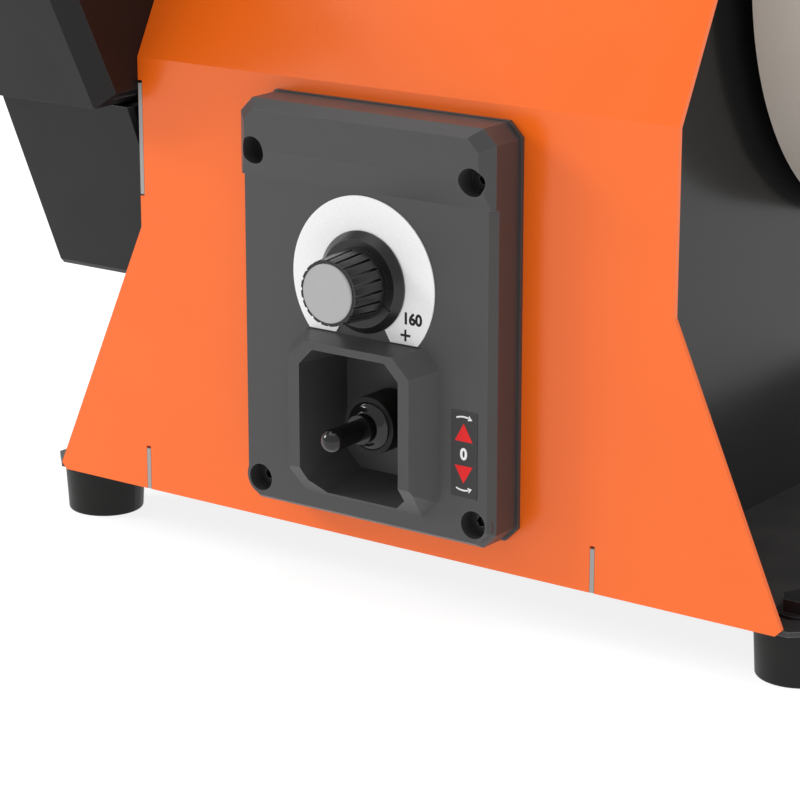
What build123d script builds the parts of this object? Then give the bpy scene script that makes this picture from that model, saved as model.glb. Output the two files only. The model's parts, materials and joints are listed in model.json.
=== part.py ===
from build123d import *
import math
import os

os.makedirs("parts", exist_ok=True)

# Two-wheel bench grinder: a water-cooled stone on the left, a honing wheel on the right.
# Millimetres. X runs to the operator's right, Y runs away from the operator, Z is up.
# The parts are laid out from the foot of the front panel (x = 0 at its middle, y = 0 at its
# front face, z = 0 at its lower edge), then moved so that the origin is the middle of the
# whole machine's footprint, on the bench.

# --- driving dimensions -------------------------------------------------------------------
SHEET = 1.5                     # steel sheet of the covers and side plates
PANEL_FOOT_HALF = 135.0         # half width of the front panel at its lower edge
PANEL_WAIST_HALF = 97.8         # half width of the front panel at its waist
PANEL_WAIST_Z = 86.8            # where the flare meets the straight waist
PANEL_FOLD_Z = 141.0            # where the panel folds back
PANEL_TILT = 27.75              # lean of the upper panel, degrees from upright
COVER_TOP_Z = 286.0
COVER_BACK_Y = 206.0
REAR_Y = 254.0                  # back edge of the side plates
REAR_SHOULDER_Z = 190.0
PLATE_TOP = 1.5                 # upper face of the base plate
PLATE_BOTTOM = -0.1
PLATE_HALF = 145.0
PLATE_BACK_Y = 262.0
PLATE_CORNER = 8.5
LEFT_PLATE_X = (-97.75, -96.25)
RIGHT_PLATE_X = (71.45, 72.95)
SLOT_WIDTH = 1.7
SLOT_TOP = 14.5
NOTCH_Z = (96.9, 133.7)
SHOULDER_Z = 176.0              # where the folded cover starts to draw in to the neck
NECK_Z = 206.0
PANEL_HOLE_X = (-32.0, 32.0)    # opening in the panel behind the control box
PANEL_HOLE_Z = (17.0, 112.0)
VENT_COUNT = 9                  # air slots in the back sheet
VENT_PITCH = 12.0
VENT_Z = (90.0, 150.0)
FOOT_X = 131.5
FOOT_Y = (17.5, 244.0)
FOOT_TOP_R = 13.4
FOOT_END_R = 12.4
FOOT_BOLT_R = 3.0
FOOT_FLOOR = -17.0              # bench surface
AXLE_Y = 161.0                  # axis shared by both wheels
AXLE_Z = 177.0
SHAFT_R = 6.0
SHAFT_X = (-166.0, 126.0)
BUSH_R = 10.0
LEFT_BUSH_X = (-98.25, -78.0)
RIGHT_BUSH_X = (59.0, 73.45)
HOUSING_SPIGOT_R = 17.0
HOUSING_FLANGE_R = 26.0
HOUSING_FLANGE = 4.0            # thickness of the housing's flange
HOUSING_HUB_R = 14.0
HOUSING_HUB = 12.0
HOUSING_SCREW_CIRCLE = 21.5     # radius of the circle that the flange screws lie on
HOUSING_SCREW_R = 2.0
RUNNING = 0.05                  # radial clearance of a shaft in its bush
STONE_R = 100.0
STONE_X = (-149.5, -109.5)
FLANGE_R = 28.0                 # clamping discs beside the stone
FLANGE = 5.0
FLANGE_WASHER = 1.5
HONING_R = 91.6
HONING_X = (80.0, 110.0)
BAND = 3.0                      # thickness of the honing band
DRIVE_R = 65.0                  # drive wheel over its tyre
DRIVE_X = (38.0, 54.0)
TYRE = 5.0
ROLLER_R = 6.0
ROLLER_GAP = 0.3
MOTOR_Y = 120.0
MOTOR_R = 38.0
MOTOR_X = (-62.0, 28.0)
MOTOR_CASE_WALL = 2.5
ROTOR_R = 4.0
END_CAP = 4.0
ROLLER_X = (36.0, 56.0)
CRADLE_X = (-52.0, 18.0)
CRADLE_ARM = 4.0
PIVOT_Y = 172.0                 # hinge of the motor cradle
PIVOT_Z = 78.0
PIVOT_R = 4.0
BOX_HALF = 46.2                 # control box
BOX_Z = (11.0, 136.4)
BOX_FACE_Y = -14.0
BOX_BEVEL_Y = -11.4
BOX_BROW_Y = -16.6
BOX_SCREW_X = 39.6
BOX_SCREW_Z = (18.3, 121.0)
BOX_SCREW_R = 2.0
BOX_SCREW_SEAT_Y = -6.0         # where the heads of the box's screws sit
BOX_COUNTERBORE_R = 4.3
BOX_BROW_Z = (113.0, 121.5)     # where the brow starts to rise, and where it is full
BOX_CUT = 4.5                   # corner cut of the box
BOX_WALL = 2.5
BOX_TRIM_Z = 78.0               # the brow's side bevel is drawn from here upwards
BOSS_R = 6.0
DIAL_Z = 86.0
DIAL_R = 25.8
DIAL_HOLE_R = 9.0
DIAL_OPEN = 31.0                # half angle of the gap at the foot of the dial
DIAL_FOOT_Z = 69.4              # the hood keeps the dial above this
COLLAR_R = 4.0
SKIRT_R = 15.5
SKIRT = 2.4                     # thickness of the knob's skirt
POINTER_ANGLE = -29.0
POINTER_R = 12.6
GRIP_ROOT_R = 10.9              # the knob's grip at the skirt and at its end
GRIP_END_R = 9.9
GRIP_SPAN_Y = (-31.3, -17.1)
FLUTES = 20
FLUTE_FLOOR_R = 9.5
FLUTE_WIDTH = 0.9
CAP_R = 8.8
CAP = 1.4                       # thickness of the knob's cap
KNOB_SHAFT_R = 3.0
KNOB_END_Y = -32.0
SWITCH_Z = 41.0
SWITCH_PIVOT_Y = -4.0
LEVER_END_Y = -33.0
LEVER_R = 3.3
LEVER_TIP_R = 3.5
LEVER_NECK_R = 4.5
LEVER_PIN_R = 1.2
BOOT_R = 9.0
BOOT_END_Y = -11.5
BOOT_BORE_R = 5.4
HOOD_Y = -22.0
HOOD_CUT = 6.0                  # corner cut of the raised frame round the switch
HOOD_RIM = (22.0, (20.4, 67.2))     # half width and height limits of its rim and its base
HOOD_BASE = (27.3, (16.4, 69.2))
TUB_CUT = 5.0
TUB_FRONT = (20.5, (17.0, 67.4))    # the tub behind the frame, outside
TUB_BACK = (19.2, (20.8, 65.6))
TUB_BACK_Y = 2.5
RECESS_FRONT = (18.3, (16.4, 65.0))     # the hollow that the switch stands in
RECESS_BACK = (17.0, (23.0, 63.4))
RECESS_FLOOR_Y = 0.5
BOARD_Y = (30.0, 31.6)
GUARD_X = (-162.0, -97.9)      # splash guard around the stone
GUARD_Z = (125.9, 205.0)
GUARD_FRONT_Y = -13.9
GUARD_LEAN = 27.2
GUARD_BACK_Y = 262.0
GUARD_BACK_LEAN = 22.0          # how far the back wall leans out over its height
GUARD_BEVEL = 6.2
GUARD_LIP_Y = 3.0
GUARD_EDGE_X = (-103.9, -97.8)  # the lower edge rises from the first of these to the second
GUARD_EDGE_Z = 131.0
GUARD_SLOT_R = 20.0             # clearance of the slots round the shaft
GUARD_SCREW_Y = (72.0, 240.0)
GUARD_SCREW_Z = 152.0
GUARD_SCREW_R = 2.5
WALL = 2.5
TRAY_X = (-155.0, -100.25)
TRAY_RIM_Z = 124.9
TRAY_FLOOR_Z = 58.0
TRAY_WALL = 2.0
TRAY_FRONT_Y = -1.7             # the tray's front edge, at the rim and where the wall ends
TRAY_FOOT = (24.4, 63.7)
TRAY_SIDE = [
    (TRAY_FRONT_Y, TRAY_RIM_Z), TRAY_FOOT, (26.0, 62.1), (34.0, 60.3), (90.0, TRAY_FLOOR_Z),
    (236.0, TRAY_FLOOR_Z), (246.0, 62.0), (271.6, TRAY_RIM_Z),
]
TRAY_MAGNET_R = 9.0
TRAY_MAGNET_Y = (110.0, 215.0)
TRAY_MAGNET_Z = 96.0
BAR_R = 6.0                     # tool support bar
BAR_Y = 100.0
BAR_LEG_X = (-72.0, 48.0)
BAR_END_X = -165.0
BAR_Z = 330.0
BAR_LEG_FOOT_Z = 235.0
BAR_BOSS_R = 7.5                # welded boss where the arm crosses the left leg
BAR_BOSS_X = (-81.0, -63.0)
SLEEVE_R = 10.0
SLEEVE_Z = (250.0, 312.0)
SLEEVE_COLLAR_R = 15.0
CLAMP_R = 3.0
CLAMP_KNOB_R = 12.0
CLAMP_KNOB_Y = (58.0, 72.0)
CLAMP_Z = 302.0
GRIP_Y = 165.0
GRIP_Z = 332.0
GRIP_X = (-58.0, 34.0)
HANDLE_ROD_R = 3.0
HANDLE_POST_R = 10.0
HANDLE_SHEET = 3.0
HANDLE_TAB_Z = COVER_TOP_Z + HANDLE_SHEET
GLAND_X = -40.0                 # cable entry in the back sheet
GLAND_Z = 34.0
GLAND_THREAD_R = 8.0
GLAND_BORE_R = 3.6
GLAND_FLATS = 21.0
BUTTON_R = 4.5                  # round-headed screws
BUTTON_HEIGHT = 2.6

# --- values worked out from them ----------------------------------------------------------
SLOPE = math.tan(math.radians(PANEL_TILT))
SLOPE_TOP_Y = (COVER_TOP_Z - PANEL_FOLD_Z) * SLOPE
DRIVE_SPAN = DRIVE_R + ROLLER_R + ROLLER_GAP
MOTOR_Z = AXLE_Z - math.sqrt(DRIVE_SPAN**2 - (AXLE_Y - MOTOR_Y) ** 2)
GUARD_RISE = GUARD_Z[1] - GUARD_Z[0]
BOX_SCREWS = [(x, z) for x in (-BOX_SCREW_X, BOX_SCREW_X) for z in BOX_SCREW_Z]
FEET = [(x, y) for x in (-FOOT_X, FOOT_X) for y in FOOT_Y]


# --- basic shapes -------------------------------------------------------------------------
def block(x, y, z):
    """A box between three pairs of limits."""
    size = [high - low for low, high in (x, y, z)]
    centre = [(high + low) / 2 for low, high in (x, y, z)]
    return Pos(*centre) * Box(*size)


def rod_x(radius, x, y, z):
    """A cylinder along X from x[0] to x[1]."""
    return Pos((x[0] + x[1]) / 2, y, z) * Rot(0, 90, 0) * Cylinder(radius, x[1] - x[0])


def rod_y(radius, x, y, z):
    """A cylinder along Y from y[0] to y[1]."""
    return Pos(x, (y[0] + y[1]) / 2, z) * Rot(90, 0, 0) * Cylinder(radius, y[1] - y[0])


def rod_z(radius, x, y, z):
    """A cylinder along Z from z[0] to z[1]."""
    return Pos(x, y, (z[0] + z[1]) / 2) * Cylinder(radius, z[1] - z[0])


def hex_x(flats, x, y, z):
    """A hexagonal bar along X."""
    profile = RegularPolygon(flats / 2, 6, major_radius=False)
    return Pos(x[0], y, z) * Rot(0, 90, 0) * extrude(profile, x[1] - x[0])


def hex_y(flats, x, y, z):
    """A hexagonal bar along Y."""
    profile = RegularPolygon(flats / 2, 6, major_radius=False)
    return Pos(x, y[1], z) * Rot(90, 0, 0) * extrude(profile, y[1] - y[0])


def hex_z(flats, x, y, z):
    """A hexagonal bar along Z."""
    profile = RegularPolygon(flats / 2, 6, major_radius=False)
    return Pos(x, y, z[0]) * extrude(profile, z[1] - z[0])


def prism_x(outline, x):
    """A (y, z) outline drawn out along X."""
    face = make_face(Polyline(*[(x[0], y, z) for y, z in outline], close=True))
    return extrude(face, x[1] - x[0], dir=(1, 0, 0))


def prism_y(outline, y):
    """An (x, z) outline drawn out along Y."""
    face = make_face(Polyline(*[(x, y[0], z) for x, z in outline], close=True))
    return extrude(face, y[1] - y[0], dir=(0, 1, 0))


def prism_z(outline, z):
    """An (x, y) outline drawn out along Z."""
    face = make_face(Polyline(*[(x, y, z[0]) for x, y in outline], close=True))
    return extrude(face, z[1] - z[0], dir=(0, 0, 1))


def mirrored(half):
    """A closed outline from its right half, listed from bottom to top."""
    return half + [(-x, z) for x, z in reversed(half)]


def offset_path(path, distance):
    """An open path of straight runs moved sideways, to the left of its direction."""
    normals = []
    for (y0, z0), (y1, z1) in zip(path, path[1:]):
        length = math.hypot(y1 - y0, z1 - z0)
        normals.append((-(z1 - z0) / length, (y1 - y0) / length))
    moved = [(path[0][0] + normals[0][0] * distance, path[0][1] + normals[0][1] * distance)]
    for point, before, after in zip(path[1:-1], normals, normals[1:]):
        scale = distance / (1 + before[0] * after[0] + before[1] * after[1])
        moved.append((point[0] + (before[0] + after[0]) * scale, point[1] + (before[1] + after[1]) * scale))
    moved.append((path[-1][0] + normals[-1][0] * distance, path[-1][1] + normals[-1][1] * distance))
    return moved


def folded_strip(path, thickness, x):
    """A sheet folded along a (y, z) path; its thickness lies to the right of the path."""
    return prism_x(path + offset_path(path, -thickness)[::-1], x)


def octagon(half_x, z, cut):
    """An (x, z) rectangle centred on x = 0 with its corners cut off."""
    half = [(half_x - cut, z[0]), (half_x, z[0] + cut), (half_x, z[1] - cut), (half_x - cut, z[1])]
    return mirrored(half)


def slab_between(outline_front, y_front, outline_back, y_back):
    """A solid with flat sides between two (x, z) outlines of the same number of points."""
    front = make_face(Polyline(*[(x, y_front, z) for x, z in outline_front], close=True))
    back = make_face(Polyline(*[(x, y_back, z) for x, z in outline_back], close=True))
    return loft([front.face(), back.face()], ruled=True)


def joined(solids):
    """Several separate solids as one group."""
    return Compound(children=[piece for solid in solids for piece in solid.solids()])


# --- covers and plates --------------------------------------------------------------------
COVER_PATH = [
    (0, PANEL_WAIST_Z),
    (0, PANEL_FOLD_Z),
    (SLOPE_TOP_Y, COVER_TOP_Z),
    (COVER_BACK_Y, COVER_TOP_Z),
]
COVER_INSIDE = offset_path(COVER_PATH, -SHEET)
REAR_PATH = [(COVER_BACK_Y, COVER_INSIDE[-1][1]), (REAR_Y, REAR_SHOULDER_Z), (REAR_Y, PLATE_TOP)]


def front_panel_lower():
    clip = 2.0
    half = [(PANEL_FOOT_HALF - clip, 0), (PANEL_FOOT_HALF, clip), (PANEL_WAIST_HALF, PANEL_WAIST_Z)]
    return prism_y(mirrored(half), (0, SHEET))


def front_cover():
    """One folded sheet: flared front panel, leaning upper panel and flat top."""
    sheet = front_panel_lower() + folded_strip(COVER_PATH, SHEET, (-PANEL_WAIST_HALF, PANEL_WAIST_HALF))
    above, beside = COVER_TOP_Z + 14, PANEL_FOOT_HALF + 5
    for side, neck in ((1, RIGHT_PLATE_X[1]), (-1, -LEFT_PLATE_X[0])):
        outline = [(side * (PANEL_WAIST_HALF + 1), SHOULDER_Z), (side * neck, NECK_Z),
                   (side * neck, above), (side * beside, above), (side * beside, SHOULDER_Z)]
        sheet -= prism_y(outline, (5, COVER_BACK_Y + 14))
    for plate in (LEFT_PLATE_X, RIGHT_PLATE_X):
        middle = (plate[0] + plate[1]) / 2
        sheet -= block((middle - SLOT_WIDTH / 2, middle + SLOT_WIDTH / 2), (-1, 5), (-1, SLOT_TOP))
    sheet -= block((-PANEL_WAIST_HALF - 1, LEFT_PLATE_X[1] + 0.1), (-1, SHEET), NOTCH_Z)
    sheet -= block(PANEL_HOLE_X, (-1, SHEET + 1), PANEL_HOLE_Z)
    for x, z in BOX_SCREWS:
        sheet -= rod_y(BOX_SCREW_R + 0.2, x, (-1, 5), z)
    for x in BAR_LEG_X:
        sheet -= rod_z(SLEEVE_R, x, BAR_Y, (270, 300))
    return sheet


def side_plate(x, waist_tab):
    """A side plate under the folded cover, with tabs that show in the front panel."""
    outline = [(SHEET, PLATE_TOP)] + COVER_INSIDE[1:-1] + REAR_PATH
    plate = prism_x(outline, x)
    plate += block(x, (0, SHEET + 1), (0.1, SLOT_TOP - 0.9))
    plate -= block((x[0] - 1, x[1] + 1), (SHEET, 10), (-1, PLATE_TOP))
    if waist_tab:
        plate += block(x, (0, SHEET + 1), (NOTCH_Z[0] + 0.6, NOTCH_Z[1] - 0.9))
    plate -= rod_x(HOUSING_SPIGOT_R, (x[0] - 1, x[1] + 1), AXLE_Y, AXLE_Z)
    plate -= rod_x(PIVOT_R, (x[0] - 1, x[1] + 1), PIVOT_Y, PIVOT_Z)
    return plate


def base_plate():
    corner = PLATE_CORNER
    outline = [
        (-PLATE_HALF, SHEET + corner), (-PLATE_HALF + corner, SHEET),
        (PLATE_HALF - corner, SHEET), (PLATE_HALF, SHEET + corner),
        (PLATE_HALF, PLATE_BACK_Y - corner), (PLATE_HALF - corner, PLATE_BACK_Y),
        (-PLATE_HALF + corner, PLATE_BACK_Y), (-PLATE_HALF, PLATE_BACK_Y - corner),
    ]
    plate = prism_z(outline, (PLATE_BOTTOM, PLATE_TOP))
    for x, y in FEET:
        plate -= rod_z(FOOT_BOLT_R, x, y, (-5, 5))
    return plate


def rear_cover():
    """The back sheet, folded once, with a row of air slots and the cable entry."""
    path = [(REAR_Y, PLATE_TOP), (REAR_Y, REAR_SHOULDER_Z), (COVER_BACK_Y, COVER_INSIDE[-1][1])]
    sheet = folded_strip(path, SHEET, (LEFT_PLATE_X[0], RIGHT_PLATE_X[1]))
    for index in range(VENT_COUNT):
        x = -60.0 + index * VENT_PITCH
        sheet -= block((x, x + 5), (REAR_Y - 5, REAR_Y + 5), VENT_Z)
    sheet -= rod_y(GLAND_THREAD_R, GLAND_X, (REAR_Y - 5, REAR_Y + 5), GLAND_Z)
    return sheet


# --- feet ---------------------------------------------------------------------------------
def rubber_feet():
    feet = []
    height = PLATE_BOTTOM - FOOT_FLOOR
    for x, y in FEET:
        foot = Pos(x, y, FOOT_FLOOR + height / 2) * Cone(FOOT_END_R, FOOT_TOP_R, height)
        foot = fillet(foot.edges().sort_by(Axis.Z)[0], 0.8)
        foot -= rod_z(FOOT_BOLT_R, x, y, (-12, 1))
        feet.append(foot)
    return joined(feet)


def foot_bolts():
    bolts = []
    for x, y in FEET:
        washer = rod_z(7.0, x, y, (PLATE_TOP, PLATE_TOP + 1.2))
        head = hex_z(10.0, x, y, (PLATE_TOP + 1.2, PLATE_TOP + 5.2))
        bolts.append(washer + head + rod_z(FOOT_BOLT_R, x, y, (-12, PLATE_TOP + 2)))
    return joined(bolts)


# --- shaft, wheels and bearings -----------------------------------------------------------
def tube_x(outer, inner, x, y=AXLE_Y, z=AXLE_Z):
    """A tube along X, on the wheel axis unless told otherwise."""
    return rod_x(outer, x, y, z) - rod_x(inner, (x[0] - 1, x[1] + 1), y, z)


def housing_screw_places():
    circle = HOUSING_SCREW_CIRCLE
    angles = [math.radians(45 + 90 * turn) for turn in range(4)]
    return [(AXLE_Y + circle * math.cos(a), AXLE_Z + circle * math.sin(a)) for a in angles]


def bearing_housing(plate, inward):
    """A flanged housing: its spigot fills the side plate's hole and its hub points inward."""
    inner_face = plate[1] if inward > 0 else plate[0]
    reach = sorted((inner_face, inner_face + inward * HOUSING_FLANGE))
    hub = sorted((inner_face, inner_face + inward * HOUSING_HUB))
    housing = rod_x(HOUSING_SPIGOT_R, plate, AXLE_Y, AXLE_Z)
    housing += rod_x(HOUSING_FLANGE_R, reach, AXLE_Y, AXLE_Z)
    housing += rod_x(HOUSING_HUB_R, hub, AXLE_Y, AXLE_Z)
    housing -= rod_x(BUSH_R, (plate[0] - 30, plate[1] + 30), AXLE_Y, AXLE_Z)
    for y, z in housing_screw_places():
        housing -= rod_x(HOUSING_SCREW_R, (plate[0] - 9, plate[1] + 9), y, z)
    return housing


def bearing_housings():
    return joined([bearing_housing(LEFT_PLATE_X, 1), bearing_housing(RIGHT_PLATE_X, -1)])


def housing_screws():
    """Four short screws in each flange, heads on the inside."""
    screws = []
    for plate, inward in ((LEFT_PLATE_X, 1), (RIGHT_PLATE_X, -1)):
        face = (plate[1] if inward > 0 else plate[0]) + inward * HOUSING_FLANGE
        shank = sorted((face - inward * HOUSING_FLANGE, face + inward))
        for y, z in housing_screw_places():
            head = rod_x(3.4, sorted((face, face + inward * 2.4)), y, z)
            screws.append(head + rod_x(HOUSING_SCREW_R, shank, y, z))
    return joined(screws)


def shaft_bushes():
    return joined([tube_x(BUSH_R, SHAFT_R + RUNNING, span) for span in (LEFT_BUSH_X, RIGHT_BUSH_X)])


def main_shaft():
    shaft = rod_x(SHAFT_R, SHAFT_X, AXLE_Y, AXLE_Z)
    return chamfer(shaft.edges().filter_by(GeomType.CIRCLE), 0.8)


def grinding_stone():
    stone = rod_x(STONE_R, STONE_X, AXLE_Y, AXLE_Z)
    stone = chamfer(stone.edges().filter_by(GeomType.CIRCLE), 1.5)
    return stone - rod_x(SHAFT_R, (-200, 0), AXLE_Y, AXLE_Z)


def stone_flanges():
    """Dished clamping discs on both sides of the stone, with a spacer up to the bush."""
    inner = tube_x(FLANGE_R, SHAFT_R, (STONE_X[1], STONE_X[1] + FLANGE))
    inner += tube_x(9.0, SHAFT_R, (STONE_X[1] + FLANGE, LEFT_BUSH_X[0] - 0.4))
    face = STONE_X[0] - FLANGE
    outer = tube_x(FLANGE_R, SHAFT_R, (face, STONE_X[0]))
    outer += tube_x(12.0, SHAFT_R, (face - FLANGE_WASHER, face))
    return joined([inner, outer])


def stone_nut():
    face = STONE_X[0] - FLANGE - FLANGE_WASHER
    nut = hex_x(19.0, (face - 8.0, face), AXLE_Y, AXLE_Z)
    return nut - rod_x(SHAFT_R, (-200, 0), AXLE_Y, AXLE_Z)


def honing_core():
    """A ribbed wheel body with a deep dish on each side."""
    core_r = HONING_R - BAND
    core = tube_x(core_r, SHAFT_R, HONING_X)
    for x in ((HONING_X[0] - 1, HONING_X[0] + 8), (HONING_X[1] - 8, HONING_X[1] + 1)):
        core -= tube_x(core_r - 9.0, 26.0, x)
    for turn in range(6):
        angle = 60.0 * turn
        rib = block((HONING_X[0] + 2, HONING_X[1] - 2), (-3, 3), (24, core_r - 6))
        core += Pos(0, AXLE_Y, AXLE_Z) * Rot(angle, 0, 0) * rib
    return core


def honing_band():
    return tube_x(HONING_R, HONING_R - BAND, HONING_X)


def honing_flange():
    return tube_x(25.0, SHAFT_R, (RIGHT_BUSH_X[1] + 0.4, HONING_X[0]))


def honing_knob():
    """The hand knob that holds the honing wheel."""
    body = tube_x(20.0, SHAFT_R, (HONING_X[1] + 3.0, HONING_X[1] + 15.0))
    for turn in range(8):
        angle = math.radians(45.0 * turn)
        y, z = AXLE_Y + 22.5 * math.cos(angle), AXLE_Z + 22.5 * math.sin(angle)
        body -= rod_x(5.0, (HONING_X[1], HONING_X[1] + 20), y, z)
    return body + tube_x(17.0, SHAFT_R, (HONING_X[1], HONING_X[1] + 3.0))


def drive_wheel():
    """A spoked hub driven at its rim by the motor's roller."""
    rim_r = DRIVE_R - TYRE
    wheel = tube_x(rim_r, SHAFT_R, DRIVE_X)
    wheel -= tube_x(rim_r - 7.0, 16.0, (DRIVE_X[0] - 1, DRIVE_X[0] + 5))
    wheel -= tube_x(rim_r - 7.0, 16.0, (DRIVE_X[1] - 5, DRIVE_X[1] + 1))
    for turn in range(6):
        angle = math.radians(30 + 60.0 * turn)
        y, z = AXLE_Y + 34.5 * math.cos(angle), AXLE_Z + 34.5 * math.sin(angle)
        wheel -= rod_x(10.0, (DRIVE_X[0] - 1, DRIVE_X[1] + 1), y, z)
    return wheel


def drive_tyre():
    return tube_x(DRIVE_R, DRIVE_R - TYRE, DRIVE_X)


def shaft_collars():
    """Rings that stop the shaft from moving along its axis."""
    left = tube_x(11.0, SHAFT_R, (LEFT_BUSH_X[1] + 0.4, LEFT_BUSH_X[1] + 8.4))
    right = tube_x(11.0, SHAFT_R, (DRIVE_X[1], RIGHT_BUSH_X[0] - 0.4))
    return joined([left, right])


# --- motor --------------------------------------------------------------------------------
def motor_case():
    """A thin steel drum, open at both ends."""
    return tube_x(MOTOR_R, MOTOR_R - MOTOR_CASE_WALL, MOTOR_X, MOTOR_Y, MOTOR_Z)


def motor_caps():
    """The two end caps with their bearing bosses and air holes."""
    caps = []
    for face, outward in ((MOTOR_X[0], -1), (MOTOR_X[1], 1)):
        disc = rod_x(MOTOR_R, sorted((face, face + outward * END_CAP)), MOTOR_Y, MOTOR_Z)
        boss = rod_x(10.0, sorted((face - outward * 6, face + outward * (END_CAP + 2))), MOTOR_Y, MOTOR_Z)
        cap = disc + boss - rod_x(ROTOR_R + RUNNING, (-100, 100), MOTOR_Y, MOTOR_Z)
        for turn in range(8):
            angle = math.radians(45.0 * turn)
            y, z = MOTOR_Y + 24 * math.cos(angle), MOTOR_Z + 24 * math.sin(angle)
            cap -= rod_x(5.0, (-100, 100), y, z)
        caps.append(cap)
    return joined(caps)


def motor_magnets():
    """Two curved magnets against the inside of the drum."""
    span = (MOTOR_X[0] + 14, MOTOR_X[1] - 14)
    outer = MOTOR_R - MOTOR_CASE_WALL
    ring = tube_x(outer, outer - 7.0, span, MOTOR_Y, MOTOR_Z)
    return ring - block((-100, 100), (MOTOR_Y - 8, MOTOR_Y + 8), (MOTOR_Z - 50, MOTOR_Z + 50))


def rotor_core():
    return tube_x(27.0, ROTOR_R, (MOTOR_X[0] + 16, MOTOR_X[1] - 16), MOTOR_Y, MOTOR_Z)


def rotor_shaft():
    return rod_x(ROTOR_R, (MOTOR_X[0] - 8, ROLLER_X[1] + 2), MOTOR_Y, MOTOR_Z)


def drive_roller():
    return tube_x(ROLLER_R, ROTOR_R, ROLLER_X, MOTOR_Y, MOTOR_Z)


def motor_cradle():
    """Two arms under the motor, joined by the tube that swings on the pivot pin."""
    arm_outline = [(PIVOT_Y - 12, PIVOT_Z - 9), (PIVOT_Y, PIVOT_Z - 9), (PIVOT_Y + 9, PIVOT_Z),
                   (PIVOT_Y, PIVOT_Z + 9), (MOTOR_Y + 34, MOTOR_Z + 6), (MOTOR_Y, MOTOR_Z - 4),
                   (MOTOR_Y - 30, MOTOR_Z - 34), (MOTOR_Y - 12, MOTOR_Z - 50)]
    cradle = tube_x(7.0, PIVOT_R + RUNNING, CRADLE_X, PIVOT_Y, PIVOT_Z)
    for x in ((CRADLE_X[0], CRADLE_X[0] + CRADLE_ARM), (CRADLE_X[1] - CRADLE_ARM, CRADLE_X[1])):
        cradle += prism_x(arm_outline, x)
    cradle -= rod_x(MOTOR_R, (-100, 100), MOTOR_Y, MOTOR_Z)
    return cradle - rod_x(PIVOT_R + RUNNING, (-100, 100), PIVOT_Y, PIVOT_Z)


def pivot_pin():
    return rod_x(PIVOT_R, (LEFT_PLATE_X[0], RIGHT_PLATE_X[1]), PIVOT_Y, PIVOT_Z)


def cradle_spring():
    """A torsion spring round the cradle's tube; it presses the roller on the drive wheel."""
    coil = Helix(pitch=3.2, height=25.6, radius=9.0)
    wire = sweep(Plane(origin=coil @ 0, z_dir=coil % 0) * Circle(0.8), path=coil, is_frenet=True)
    return Pos(CRADLE_X[0] + 14, PIVOT_Y, PIVOT_Z) * Rot(0, 90, 0) * wire


# --- control box --------------------------------------------------------------------------
def box_shell():
    """The box's outer form: straight sides, bevelled face and a raised brow at the top."""
    sides = prism_y(octagon(BOX_HALF, BOX_Z, BOX_CUT), (BOX_BEVEL_Y, 0))
    face_z = (BOX_Z[0] + 1.6, BOX_Z[1] - 2.6)
    bevel = slab_between(octagon(BOX_HALF - 1.9, face_z, BOX_CUT - 0.6), BOX_FACE_Y,
                         octagon(BOX_HALF, BOX_Z, BOX_CUT), BOX_BEVEL_Y)
    brow_side = [(BOX_FACE_Y, BOX_BROW_Z[0]), (BOX_BROW_Y, BOX_BROW_Z[1]), (BOX_BROW_Y, face_z[1]),
                 (BOX_FACE_Y, BOX_Z[1]), (BOX_BEVEL_Y, BOX_Z[1]), (BOX_BEVEL_Y, BOX_BROW_Z[0])]
    brow = prism_x(brow_side, (-BOX_HALF, BOX_HALF))
    trim_front = octagon(BOX_HALF - 3.9, (BOX_TRIM_Z + 2, face_z[1]), BOX_CUT - 0.6)
    trim_back = octagon(BOX_HALF, (BOX_TRIM_Z, BOX_Z[1]), BOX_CUT)
    trim = slab_between(trim_front, BOX_BROW_Y, trim_back, BOX_FACE_Y + 1.0)
    trim += prism_y(trim_back, (BOX_FACE_Y + 1.0, 0))
    return sides + bevel + (brow & trim)


def hood_form():
    """The raised frame round the switch, chamfered at every corner."""
    hood = slab_between(octagon(*HOOD_RIM, HOOD_CUT), HOOD_Y, octagon(*HOOD_BASE, HOOD_CUT), BOX_FACE_Y + 0.5)
    runout = [(HOOD_Y - 2, 10), (HOOD_Y - 2, 30), (BOX_FACE_Y, 17.0), (BOX_FACE_Y, 10)]
    return hood - prism_x(runout, (-40, 40))


def recess_form():
    """The hollow that the switch stands in; it widens a little towards the operator."""
    front, back = octagon(*RECESS_FRONT, TUB_CUT), octagon(*RECESS_BACK, TUB_CUT)
    return slab_between(front, HOOD_Y - 1, back, RECESS_FLOOR_Y)


def tub_form():
    """The solid round the hollow, reaching back through the panel."""
    front, back = octagon(*TUB_FRONT, TUB_CUT), octagon(*TUB_BACK, TUB_CUT)
    return slab_between(front, BOX_FACE_Y + 1, back, TUB_BACK_Y)


def control_box():
    """The hollow box with its switch frame, screw bosses and the dial's collar hole."""
    box = box_shell()
    cavity_z = (BOX_Z[0] + BOX_WALL, BOX_Z[1] - BOX_WALL)
    box -= block((-BOX_HALF + BOX_WALL, BOX_HALF - BOX_WALL), (BOX_FACE_Y + BOX_WALL, 1), cavity_z)
    box += hood_form() + tub_form()
    for x, z in BOX_SCREWS:
        box += rod_y(BOSS_R, x, (BOX_FACE_Y + 1, 0), z) & block((-50, 50), (-20, 0), BOX_Z)
    box -= recess_form()
    box -= rod_y(BOOT_R - 3.0, 0, (-1, 4), SWITCH_Z)
    for x, z in BOX_SCREWS:
        box -= rod_y(BOX_COUNTERBORE_R, x, (BOX_BROW_Y - 2, BOX_SCREW_SEAT_Y), z)
        box -= rod_y(BOX_SCREW_R, x, (BOX_SCREW_SEAT_Y - 1, 1), z)
    return box - rod_y(COLLAR_R, 0, (BOX_FACE_Y - 1, BOX_FACE_Y + 5), DIAL_Z)


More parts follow.
